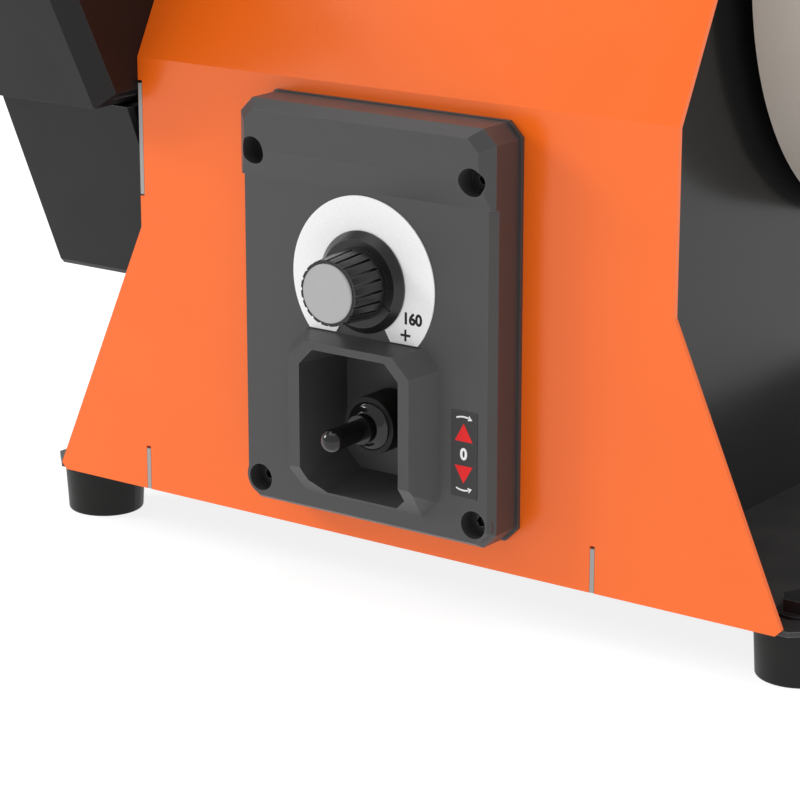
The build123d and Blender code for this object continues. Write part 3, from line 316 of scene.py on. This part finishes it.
# %% Group: settled dust
def make_dust():
    """A mask that is strongest on faces that look up."""
    group, start, end = new_group(
        "settled_dust", [("Amount", FLOAT, 0.3)], [("Mask", FLOAT)]
    )
    coordinates = add_node(group, "ShaderNodeTexCoord")
    parts = add_node(group, "ShaderNodeSeparateXYZ")
    group.links.new(coordinates.outputs["Normal"], parts.inputs[0])
    upward = math_node(group, "POWER", math_node(group, "MAXIMUM", parts.outputs["Z"], 0.0), 3.0)
    patches = noise_node(group, coordinates.outputs["Object"], 60.0, 5.0, 0.6)
    layer = math_node(group, "MULTIPLY", upward, patches)
    group.links.new(
        math_node(group, "MULTIPLY", layer, start.outputs["Amount"], clamp=True),
        end.inputs["Mask"],
    )
    return group


dust_group = make_dust()
print("group", dust_group.name)

# %% [markdown]
# Lathe rings: shafts, flanges and nuts are turned, and the tool leaves rings about the axis. The
# height depends only on the place along the axis and the distance from it, so a noise is given just
# those two numbers. The axis is an input, so the same group can serve any shaft that lies along X.

# %% Group: lathe rings
def make_rings():
    """Height and tone of fine rings about an axis along X through a given point."""
    group, start, end = new_group(
        "lathe_rings",
        [("Axis Y", FLOAT, 0.0), ("Axis Z", FLOAT, 0.0), ("Rings per metre", FLOAT, 3000.0)],
        [("Height", FLOAT), ("Tone", FLOAT)],
    )
    place = add_node(group, "ShaderNodeTexCoord").outputs["Object"]
    parts = add_node(group, "ShaderNodeSeparateXYZ")
    group.links.new(place, parts.inputs[0])
    y = math_node(group, "SUBTRACT", parts.outputs["Y"], start.outputs["Axis Y"])
    z = math_node(group, "SUBTRACT", parts.outputs["Z"], start.outputs["Axis Z"])
    squares = math_node(
        group, "ADD", math_node(group, "MULTIPLY", y, y), math_node(group, "MULTIPLY", z, z)
    )
    radius = math_node(group, "SQRT", squares)
    pair = add_node(group, "ShaderNodeCombineXYZ")
    group.links.new(parts.outputs["X"], pair.inputs["X"])
    group.links.new(radius, pair.inputs["Y"])
    rings = noise_node(group, pair.outputs[0], start.outputs["Rings per metre"], 2.0)
    tone = noise_node(group, place, 90.0, 4.0)
    group.links.new(rings, end.inputs["Height"])
    group.links.new(tone, end.inputs["Tone"])
    return group


ring_group = make_rings()
print("group", ring_group.name)

# %% [markdown]
# Every finish starts from one Principled shader. It is given two tones, a roughness, the number of
# grains in a metre and the strength of their bump; one function wires the grain, the worn edges
# with their painted highlight and the dust into it. Values that are the same all over the surface,
# such as the index of refraction, go straight onto the shader's own sockets.

# %% The common finish
DUST_TONE = (0.42, 0.40, 0.37, 1.0)
TONE_LOW, TONE_HIGH = 0.3, 0.7


def new_material(name, roughness, metallic=0.0, ior=1.5):
    """A material with one Principled shader, ready for its textures."""
    material = bpy.data.materials.new(name)
    material.use_nodes = True
    shader = material.node_tree.nodes["Principled BSDF"]
    shader.inputs["Roughness"].default_value = roughness
    shader.inputs["Metallic"].default_value = metallic
    shader.inputs["IOR"].default_value = ior
    return material, shader


def place_group(tree, group, **values):
    """A node group placed in a material with its own values; underscores stand for spaces."""
    made = add_node(tree, "ShaderNodeGroup")
    made.node_tree = group
    for key, value in values.items():
        made.inputs[key.replace("_", " ")].default_value = value
    return made


def mix_colours(tree, share, first, second):
    """One colour turning into another as share goes from 0 to 1.

    A Mix node keeps its colours in inputs 6 and 7 and in output 2; the rest serve other kinds.
    """
    made = add_node(tree, "ShaderNodeMix", data_type="RGBA")
    tree.links.new(share, made.inputs["Factor"])
    for socket, value in ((made.inputs[6], first), (made.inputs[7], second)):
        if isinstance(value, tuple):
            socket.default_value = value
        else:
            tree.links.new(value, socket)
    return made.outputs[2]


def add_bump(tree, shader, height, strength, depth):
    """Turns a height into a bumped normal on the shader."""
    bump = add_node(tree, "ShaderNodeBump")
    bump.inputs["Strength"].default_value = strength
    bump.inputs["Distance"].default_value = depth
    tree.links.new(height, bump.inputs["Height"])
    tree.links.new(bump.outputs["Normal"], shader.inputs["Normal"])


def vary_roughness(tree, shader, tone, low, high):
    """Roughness that wanders between two values with the tone."""
    made = add_node(tree, "ShaderNodeMapRange")
    made.inputs["From Min"].default_value = TONE_LOW
    made.inputs["From Max"].default_value = TONE_HIGH
    made.inputs["To Min"].default_value = low
    made.inputs["To Max"].default_value = high
    tree.links.new(tone, made.inputs["Value"])
    tree.links.new(made.outputs["Result"], shader.inputs["Roughness"])


def grained(name, dark, light, roughness, grains, bump, depth=0.00005, edge=None, dust=0.0, **more):
    """A sprayed, moulded or cast finish: two tones, a grain, worn edges with a painted highlight,
    and a little dust.
    """
    material, shader = new_material(name, roughness, **more)
    tree = material.node_tree
    grain = place_group(tree, grain_group, Grains_per_metre=grains)
    colour = mix_colours(tree, grain.outputs["Tone"], dark + (1.0,), light + (1.0,))
    if edge:
        # The edge tone is lighter than the finish: partly wear, partly a painted highlight along
        # the edge.
        edge_tone_wear_and_highlight, width, strength = edge
        worn_and_highlit = place_group(tree, edge_wear_and_highlight_group, Width=width, Strength=strength)
        colour = mix_colours(tree, worn_and_highlit.outputs["Mask"], colour, edge_tone_wear_and_highlight + (1.0,))
    if dust:
        settled = place_group(tree, dust_group, Amount=dust)
        colour = mix_colours(tree, settled.outputs["Mask"], colour, DUST_TONE)
    tree.links.new(colour, shader.inputs["Base Color"])
    vary_roughness(tree, shader, grain.outputs["Tone"], roughness * 0.9, roughness * 1.15)
    add_bump(tree, shader, grain.outputs["Height"], bump, depth)
    return material


FINISHES = {}
print("common finish ready")

# %% [markdown]
# Powder coat: the panels are sprayed with dry paint that melts into one glossy skin. It has a very
# fine orange peel, which blurs what it mirrors, and its colour is deep. The bright room puts a pale
# veil over it, so the paint itself is redder than it looks. The black parts take the same paint.

# %% Painted steel
FINISHES["orange_coat"] = grained(
    "orange_coat", (0.93, 0.135, 0.005), (0.98, 0.156, 0.008), 0.24, 900.0, 0.05, dust=0.04
)
# The grey edge tone is partly wear and partly a painted highlight along the edges.
FINISHES["black_steel"] = grained(
    "black_steel", (0.016, 0.016, 0.017), (0.024, 0.024, 0.025), 0.32, 1200.0, 0.12,
    edge=((0.20, 0.20, 0.20), 0.0005, 4.0), dust=0.10,
)
# The grey edge tone is partly wear and partly a painted highlight along the edges.
FINISHES["dark_bolt"] = grained(
    "dark_bolt", (0.020, 0.020, 0.022), (0.045, 0.045, 0.047), 0.38, 2500.0, 0.25, metallic=0.6,
    edge=((0.30, 0.30, 0.30), 0.0004, 5.0),
)
print("painted finishes", sorted(FINISHES))

# %% [markdown]
# The two side plates are painted glossy black before a laser trims them, so their cut edges are
# bare steel. They show as pale lines in the slots of the front panel. A plate's faces look along X
# and its edges do not, so the part's own normal tells paint from metal.

# %% Side plates with bare edges
BARE_EDGE = (0.36, 0.35, 0.34, 1.0)


def make_cut_plate():
    """Glossy black paint on the faces and bare steel on the cut edges."""
    material = grained(
        "black_gloss", (0.014, 0.014, 0.014), (0.019, 0.019, 0.019), 0.19, 900.0, 0.04, ior=1.33
    )
    tree = material.node_tree
    shader = tree.nodes["Principled BSDF"]
    painted = shader.inputs["Base Color"].links[0].from_socket
    parts = add_node(tree, "ShaderNodeSeparateXYZ")
    tree.links.new(add_node(tree, "ShaderNodeTexCoord").outputs["Normal"], parts.inputs[0])
    across = math_node(tree, "ABSOLUTE", parts.outputs["X"])
    edge = math_node(tree, "LESS_THAN", across, 0.5)
    colour = mix_colours(tree, edge, painted, BARE_EDGE)
    tree.links.new(colour, shader.inputs["Base Color"])
    return material


FINISHES["black_gloss"] = make_cut_plate()
print("plates ready")

# %% [markdown]
# Moulded plastic: the control box, the guard and the tray come from spark-eroded moulds, whose
# sandy texture scatters the light into a soft grey. The knob comes from a smoother mould, and the
# label is a smooth sheet. Each row ends with the index of refraction: a low one stands for a
# surface whose pits swallow part of the gloss, as on the guard and the tray.

# %% Moulded plastics
# Lighter grey on the plastics' edges: partly wear, partly a painted edge highlight.
RUBBED_AND_HIGHLIT_PLASTIC = ((0.16, 0.16, 0.16), 0.0004, 2.5)
PLASTICS = {
    "box_plastic": ((0.044, 0.044, 0.045), (0.052, 0.052, 0.053), 0.42, 2600.0, 0.22, 1.5),
    "guard_plastic": ((0.006, 0.006, 0.006), (0.010, 0.010, 0.010), 0.42, 2200.0, 0.25, 1.32),
    "dark_plastic": ((0.012, 0.012, 0.013), (0.018, 0.018, 0.019), 0.45, 2200.0, 0.20, 1.45),
    "knob_black": ((0.008, 0.008, 0.009), (0.012, 0.012, 0.013), 0.27, 3000.0, 0.10, 1.45),
    "label_black": ((0.018, 0.018, 0.018), (0.024, 0.024, 0.024), 0.35, 4000.0, 0.08, 1.45),
}
for slot, (dark, light, roughness, grains, bump, ior) in PLASTICS.items():
    FINISHES[slot] = grained(
        slot, dark, light, roughness, grains, bump, ior=ior, edge=RUBBED_AND_HIGHLIT_PLASTIC, dust=0.06
    )
print("plastics", sorted(PLASTICS))

# %% [markdown]
# Rubber: feet, tyre, boot and grip are a dull black with a slightly chalky bloom; the lever's
# sleeve is polished by fingers, so it is much glossier.

# %% Rubbers
FINISHES["rubber"] = grained(
    "rubber", (0.005, 0.005, 0.005), (0.010, 0.010, 0.009), 0.44, 1800.0, 0.30, dust=0.08, ior=1.32
)
FINISHES["lever_rubber"] = grained(
    "lever_rubber", (0.004, 0.004, 0.004), (0.008, 0.008, 0.008), 0.13, 1500.0, 0.03
)
print("rubbers ready")

# %% [markdown]
# Pale plates: the dial is a white printed plate whose ink has a fine speckle, and the knob's cap is
# a disc of satin grey. The speckle comes from the same grain, made stronger in its tone.

# %% Dial plate and cap
FINISHES["dial_white"] = grained(
    "dial_white", (0.83, 0.83, 0.83), (0.95, 0.95, 0.95), 0.38, 60000.0, 0.10, 0.00002
)
FINISHES["cap_grey"] = grained(
    "cap_grey", (0.37, 0.37, 0.37), (0.43, 0.43, 0.43), 0.34, 6000.0, 0.05, metallic=0.2
)
print("pale plates ready")

# %% [markdown]
# Turned and drawn metal: the shaft, flanges and nuts are bright steel with lathe rings, the bushes
# are bronze, and the heat sink is drawn aluminium. A metal takes its colour from its reflection, so
# Metallic is 1 and the rings are kept shallow. All three take their lines about the wheels' axle.
# The chrome bar, the castings and the magnets take the common finish.

# %% Bare metals
def turned(name, dark, light, roughness, rings, bump, axis):
    """A metal with lathe rings about an axis along X."""
    material, shader = new_material(name, roughness, metallic=1.0)
    tree = material.node_tree
    ring = place_group(
        tree, ring_group, Axis_Y=axis.y, Axis_Z=axis.z, Rings_per_metre=rings
    )
    colour = mix_colours(tree, ring.outputs["Tone"], dark + (1.0,), light + (1.0,))
    tree.links.new(colour, shader.inputs["Base Color"])
    vary_roughness(tree, shader, ring.outputs["Tone"], roughness * 0.8, roughness * 1.25)
    add_bump(tree, shader, ring.outputs["Height"], bump, 0.00004)
    return material


AXLE = at(0, 161, 177)
METALS = {
    "bright_steel": ((0.50, 0.50, 0.49), (0.64, 0.63, 0.62), 0.26, 5000.0, 0.25),
    "bronze": ((0.52, 0.34, 0.15), (0.66, 0.45, 0.21), 0.32, 4000.0, 0.20),
    "aluminium": ((0.62, 0.62, 0.63), (0.72, 0.72, 0.73), 0.36, 3500.0, 0.20),
}
for slot, (dark, light, roughness, rings, bump) in METALS.items():
    FINISHES[slot] = turned(slot, dark, light, roughness, rings, bump, AXLE)
FINISHES["chrome_bar"] = grained(
    "chrome_bar", (0.62, 0.63, 0.64), (0.72, 0.73, 0.74), 0.12, 400.0, 0.02, metallic=1.0
)
# The pale edge tone is partly wear and partly a painted highlight along the edges.
FINISHES["cast_housing"] = grained(
    "cast_housing", (0.20, 0.20, 0.20), (0.30, 0.30, 0.30), 0.50, 900.0, 0.50, 0.0002,
    metallic=0.7, edge=((0.55, 0.55, 0.55), 0.0006, 4.0),
)
FINISHES["magnet"] = grained(
    "magnet", (0.10, 0.10, 0.11), (0.16, 0.16, 0.17), 0.40, 1500.0, 0.15, metallic=0.8
)
print("metals", sorted(METALS))

# %% [markdown]
# Rotor laminations: the core is a stack of thin stamped sheets, so fine lines run round it. A wave
# along the axis gives the lines, both as colour and as relief. The circuit board behind the control
# box is a glossy green, and takes the common finish.

# %% Laminations and circuit board
def make_laminations():
    """Stacked sheets, seen as fine lines across the axis."""
    material, shader = new_material("laminations", 0.42, metallic=0.9)
    tree = material.node_tree
    place = add_node(tree, "ShaderNodeTexCoord").outputs["Object"]
    wave = add_node(tree, "ShaderNodeTexWave", bands_direction="X")
    wave.inputs["Scale"].default_value = 320.0
    wave.inputs["Distortion"].default_value = 0.4
    tree.links.new(place, wave.inputs["Vector"])
    colour = mix_colours(
        tree, wave.outputs["Fac"], (0.14, 0.13, 0.12, 1.0), (0.36, 0.35, 0.34, 1.0)
    )
    tree.links.new(colour, shader.inputs["Base Color"])
    add_bump(tree, shader, wave.outputs["Fac"], 0.4, 0.0001)
    return material


FINISHES["laminations"] = make_laminations()
FINISHES["board_green"] = grained(
    "board_green", (0.010, 0.095, 0.035), (0.018, 0.140, 0.055), 0.28, 2500.0, 0.12
)
print("laminations and board ready")

# %% [markdown]
# The stone: grey aluminium-oxide grit in a hard bond. Cells of different greys are the grits, a
# second, larger noise is the slurry left by water, and the bump is rough. It stays matt all over.

# %% Grinding stone
def make_stone():
    """Bonded grit: speckled, rough and matt."""
    material, shader = new_material("stone", 0.82)
    tree = material.node_tree
    place = add_node(tree, "ShaderNodeTexCoord").outputs["Object"]
    grits = add_node(tree, "ShaderNodeTexVoronoi")
    grits.inputs["Scale"].default_value = 1300.0
    tree.links.new(place, grits.inputs["Vector"])
    tone = add_node(tree, "ShaderNodeSeparateColor")
    tree.links.new(grits.outputs["Color"], tone.inputs[0])
    grey = mix_colours(
        tree, tone.outputs[0], (0.25, 0.25, 0.26, 1.0), (0.46, 0.46, 0.46, 1.0)
    )
    stain = place_group(tree, grain_group, Grains_per_metre=2400.0)
    slurry = mix_colours(tree, stain.outputs["Tone"], grey, (0.36, 0.35, 0.33, 1.0))
    tree.links.new(slurry, shader.inputs["Base Color"])
    add_bump(tree, shader, grits.outputs["Distance"], 0.55, 0.0003)
    return material


FINISHES["stone"] = make_stone()
print("stone ready")

# %% [markdown]
# The honing band: pale split leather, glued round the wheel with its soft side out. Short fibres
# make it matt and slightly fuzzy, so the shader has a little sheen, and broad stains show where
# polishing paste was rubbed in.

# %% Honing leather
def make_leather():
    """Pale leather with short fibres and faint stains."""
    material, shader = new_material("honing_leather", 0.78)
    shader.inputs["Sheen Weight"].default_value = 0.25
    shader.inputs["Sheen Roughness"].default_value = 0.5
    tree = material.node_tree
    fibres = place_group(tree, grain_group, Grains_per_metre=3200.0)
    stains = place_group(tree, grain_group, Grains_per_metre=900.0)
    fine = mix_colours(
        tree, fibres.outputs["Height"], (0.64, 0.63, 0.56, 1.0), (0.82, 0.81, 0.73, 1.0)
    )
    colour = mix_colours(tree, stains.outputs["Tone"], fine, (0.71, 0.70, 0.62, 1.0))
    tree.links.new(colour, shader.inputs["Base Color"])
    add_bump(tree, shader, fibres.outputs["Height"], 0.5, 0.0002)
    return material


FINISHES["honing_leather"] = make_leather()
print("leather ready")

# %% [markdown]
# The record that comes with the frame says which finish each part takes. A CAD part keeps its exact
# shape, so its material slots are simply filled with the finish of that name.

# %% Put the finishes on the parts
def dress_parts():
    """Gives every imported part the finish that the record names, and returns the count."""
    done = 0
    for entry in frame["record"]["subparts"]:
        part = frame["nodes"].get(entry["node"])
        if part is None:
            continue
        part.data.materials.clear()
        part.data.materials.append(FINISHES[entry["material_slot"]])
        done += 1
    return done


print("parts dressed", dress_parts(), "of", len(frame["nodes"]))

# %% [markdown]
# The lever's skin: a thin rubber cone closes the seal ring round the lever. It is drawn as a
# profile of distance from the axis against depth and turned about the lever.

# %% Skin round the lever
SKIN_OUTSIDE = [(7.4, -11.75), (6.6, -11.95), (5.6, -12.5), (4.9, -13.5), (4.3, -13.9)]
SKIN_INSIDE = [(4.3, -13.2), (5.2, -12.0), (6.4, -11.4)]
SKIN_PROFILE = [(7.4, -11.2)] + SKIN_OUTSIDE + SKIN_INSIDE
SKIN_STEPS = 48
LEVER_Z = 41.0


def make_skin():
    """The profile turned about the lever's axis, closed both ways."""
    mesh = bpy.data.meshes.new("lever_skin")
    built = bmesh.new()
    rings = []
    for step in range(SKIN_STEPS):
        angle = 2 * math.pi * step / SKIN_STEPS
        across, up = math.cos(angle), math.sin(angle)
        places = [at(r * across, y, LEVER_Z + r * up) for r, y in SKIN_PROFILE]
        rings.append([built.verts.new(place) for place in places])
    count = len(SKIN_PROFILE)
    for step, ring in enumerate(rings):
        after = rings[(step + 1) % SKIN_STEPS]
        for index in range(count):
            other = (index + 1) % count
            built.faces.new((ring[index], ring[other], after[other], after[index]))
    bmesh.ops.recalc_face_normals(built, faces=built.faces)
    for face in built.faces:
        face.smooth = True
    built.to_mesh(mesh)
    built.free()
    mesh.materials.append(FINISHES["lever_rubber"])
    skin = bpy.data.objects.new("lever_skin", mesh)
    bpy.context.scene.collection.objects.link(skin)
    return skin


skin = make_skin()
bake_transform(skin)
print(skin.name, "faces", len(skin.data.polygons))

# %% [markdown]
# Printed marks: ink has almost no thickness, so each mark is a plate less than a tenth of a
# millimetre thick, laid on the surface. Flat outlines are drawn in x and z and given that depth. A
# closed outline, and not a picture, keeps the edge crisp at any distance.

# %% Flat shapes for ink
INK_DEPTH = 0.06


def flat_ink(name, outlines, face_y, material):
    """Thin plates in the x-z plane, standing out of face_y by the thickness of the ink."""
    mesh = bpy.data.meshes.new(name)
    built = bmesh.new()
    for outline in outlines:
        front = [built.verts.new(at(x, face_y - INK_DEPTH, z)) for x, z in outline]
        back = [built.verts.new(at(x, face_y + INK_DEPTH / 3, z)) for x, z in outline]
        built.faces.new(front)
        built.faces.new(back[::-1])
        for index in range(len(outline)):
            after = (index + 1) % len(outline)
            built.faces.new((front[index], back[index], back[after], front[after]))
    bmesh.ops.recalc_face_normals(built, faces=built.faces)
    built.to_mesh(mesh)
    built.free()
    mesh.materials.append(material)
    piece = bpy.data.objects.new(name, mesh)
    bpy.context.scene.collection.objects.link(piece)
    return piece


def ink_material(name, dark, light):
    """Printing ink: nearly even, with a fine mottle where it lies thinner."""
    return grained(name, dark, light, 0.42, 40000.0, 0.05, 0.00001, ior=1.3)


INK_BLACK = ink_material("ink_black", (0.006, 0.006, 0.006), (0.012, 0.012, 0.012))
INK_WHITE = ink_material("ink_white", (0.80, 0.80, 0.80), (0.90, 0.90, 0.90))
INK_RED = ink_material("ink_red", (0.72, 0.012, 0.014), (0.80, 0.018, 0.022))
print("inks", INK_BLACK.name, INK_WHITE.name, INK_RED.name)

# %% [markdown]
# Numbers come from Blender's own font. A text curve is filled and given the ink's thickness, made
# into a mesh, and turned to face the front. Its offset thickens the strokes to a bold face.

# %% Numbers
DIGIT_SHARE = 0.73
STROKE_GAIN = 0.052
DIGIT_SPACING = 0.96


def number_mesh(text, height):
    """A bold number as a mesh, lying in x-y, centred, with digits of the given height in mm."""
    curve = bpy.data.curves.new("number_" + text, "FONT")
    curve.body = text
    curve.size = height / DIGIT_SHARE
    curve.offset = height * STROKE_GAIN
    curve.space_character = DIGIT_SPACING
    curve.extrude = INK_DEPTH / 2
    curve.align_x = "CENTER"
    curve.resolution_u = 6
    holder = bpy.data.objects.new(curve.name, curve)
    bpy.context.scene.collection.objects.link(holder)
    bpy.context.view_layer.update()
    mesh = bpy.data.meshes.new_from_object(holder)
    bpy.data.objects.remove(holder)
    return mesh


def number_piece(name, text, x, z, face_y, height, material):
    """A number printed on a face that looks to the front, with its middle at x, z."""
    mesh = number_mesh(text, height)
    rows = [vertex.co.y for vertex in mesh.vertices]
    middle = (min(rows) + max(rows)) / 2
    for vertex in mesh.vertices:
        flat = vertex.co.copy()
        vertex.co = at(x + flat.x, face_y - INK_DEPTH / 3 - flat.z, z + flat.y - middle)
    mesh.materials.clear()
    mesh.materials.append(material)
    piece = bpy.data.objects.new(name, mesh)
    bpy.context.scene.collection.objects.link(piece)
    return piece


DIAL_FACE = (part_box("dial_plate")[0].y - ZERO.y) / MM
DIGIT_X, DIGIT_Z, DIGIT_HEIGHT = 17.95, 77.4, 3.5
dial_high = number_piece(
    "dial_number_160", "160", DIGIT_X, DIGIT_Z, DIAL_FACE, DIGIT_HEIGHT, INK_BLACK
)
dial_low = number_piece(
    "dial_number_90", "90", -DIGIT_X, DIGIT_Z, DIAL_FACE, DIGIT_HEIGHT, INK_BLACK
)
for piece in (dial_high, dial_low):
    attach(piece, "root")
    print(piece.name, "vertices", len(piece.data.vertices))

# %% [markdown]
# Under the numbers stand a plus and a minus, so that the way to turn the knob is plain. Each is a
# bar or two of the same weight as the digits.

# %% Plus and minus
SIGN_X, SIGN_Z = 15.5, 72.2
SIGN_REACH = 1.75
SIGN_HALF = 0.36


def bar_outline(x, z, half_x, half_z):
    """A rectangle about a middle, as a closed outline."""
    return [
        (x - half_x, z - half_z),
        (x + half_x, z - half_z),
        (x + half_x, z + half_z),
        (x - half_x, z + half_z),
    ]


def plus_outline(x, z):
    """A plus sign as one outline of twelve corners."""
    long, short = SIGN_REACH, SIGN_HALF
    quarter = [(short, long), (short, short), (long, short)]
    corners = []
    for turn in range(4):
        angle = -math.pi / 2 * turn
        for a, b in quarter:
            corners.append((
                x + a * math.cos(angle) - b * math.sin(angle),
                z + a * math.sin(angle) + b * math.cos(angle),
            ))
    return corners


minus_outline = bar_outline(-SIGN_X, SIGN_Z, SIGN_REACH, SIGN_HALF)
plus = flat_ink("dial_plus", [plus_outline(SIGN_X, SIGN_Z)], DIAL_FACE, INK_BLACK)
minus = flat_ink("dial_minus", [minus_outline], DIAL_FACE, INK_BLACK)
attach(plus, "root")
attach(minus, "root")
print("signs stand at", [round(value, 4) for value in plus.data.vertices[0].co])

# %% [markdown]
# The knob's pointer: a groove is cut into its skirt, and black ink lies in it. The ink is a short
# bar along a radius, and it turns with the knob.

# %% Knob pointer
KNOB_Z = 86.0
SKIRT_FACE = -17.1
POINTER_TURN = -29.0
POINTER_REACH = (10.6, 13.1)
POINTER_HALF = 0.38


def pointer_outline():
    """A bar along a radius, from the grip to the skirt's rim."""
    cosine, sine = math.cos(math.radians(POINTER_TURN)), math.sin(math.radians(POINTER_TURN))
    near, far = POINTER_REACH
    half = POINTER_HALF
    corners = [(near, -half), (far, -half), (far, half), (near, half)]
    return [(r * cosine - s * sine, KNOB_Z + r * sine + s * cosine) for r, s in corners]


pointer = flat_ink("knob_pointer", [pointer_outline()], SKIRT_FACE, INK_BLACK)
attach(pointer, "speed_knob")
print(pointer.name, "corners", len(pointer.data.vertices))

# %% [markdown]
# The direction label: a black plate beside the switch. A red triangle points up and one points
# down, a white zero between them means off, and above and below them a small bent arrow shows which
# way the wheels turn. Pictures need no translation, so the label has no words.

# %% Direction label
LABEL_FACE = (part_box("switch_label")[0].y - ZERO.y) / MM
LABEL_X = 36.35
TRIANGLE_HALF = 3.15
TRIANGLES = [(43.4, 48.9), (36.0, 30.6)]
ARROWS = [(50.95, 1), (28.5, -1)]
ZERO_Z, ZERO_HEIGHT = 39.6, 3.5
ARC_RADIUS, ARC_HALF_WIDTH = 6.4, 0.24
ARC_SPREAD, ARC_STEPS = 24.0, 10
ARC_SHARE = 0.86
HEAD_AHEAD, HEAD_BEHIND = 4, 9
HEAD_HALF = 0.85


def triangle(foot, tip):
    """A triangle in the middle of the label, from the height of its foot and of its tip."""
    return [(LABEL_X - TRIANGLE_HALF, foot), (LABEL_X + TRIANGLE_HALF, foot), (LABEL_X, tip)]


def bent_arrow(x, z, up):
    """A shallow arc with an arrow head at one end, as two outlines; up is 1 or -1."""
    radius, spread = ARC_RADIUS, ARC_SPREAD
    middle_z = z - up * radius
    outer, inner = [], []
    for step in range(ARC_STEPS + 1):
        angle = math.radians(90 + spread - 2 * spread * step / ARC_STEPS * ARC_SHARE)
        outer.append((radius + ARC_HALF_WIDTH, angle))
        inner.append((radius - ARC_HALF_WIDTH, angle))
    ring = outer + inner[::-1]
    arc = [(x + r * math.cos(a), middle_z + up * r * math.sin(a)) for r, a in ring]
    tip = math.radians(90 - spread - HEAD_AHEAD)
    root = math.radians(90 - spread + HEAD_BEHIND)
    corners = [(radius, tip), (radius + HEAD_HALF, root), (radius - HEAD_HALF, root)]
    head = [(x + r * math.cos(a), middle_z + up * r * math.sin(a)) for r, a in corners]
    return [arc, head]


arrow_outlines = [outline for z, up in ARROWS for outline in bent_arrow(LABEL_X, z, up)]
triangle_outlines = [triangle(foot, tip) for foot, tip in TRIANGLES]
triangles = flat_ink("label_triangles", triangle_outlines, LABEL_FACE, INK_RED)
arrows = flat_ink("label_arrows", arrow_outlines, LABEL_FACE, INK_WHITE)
zero = number_piece("label_zero", "0", LABEL_X, ZERO_Z, LABEL_FACE, ZERO_HEIGHT, INK_WHITE)
for piece in (triangles, arrows, zero):
    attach(piece, "root")
    print(piece.name, "faces", len(piece.data.polygons))
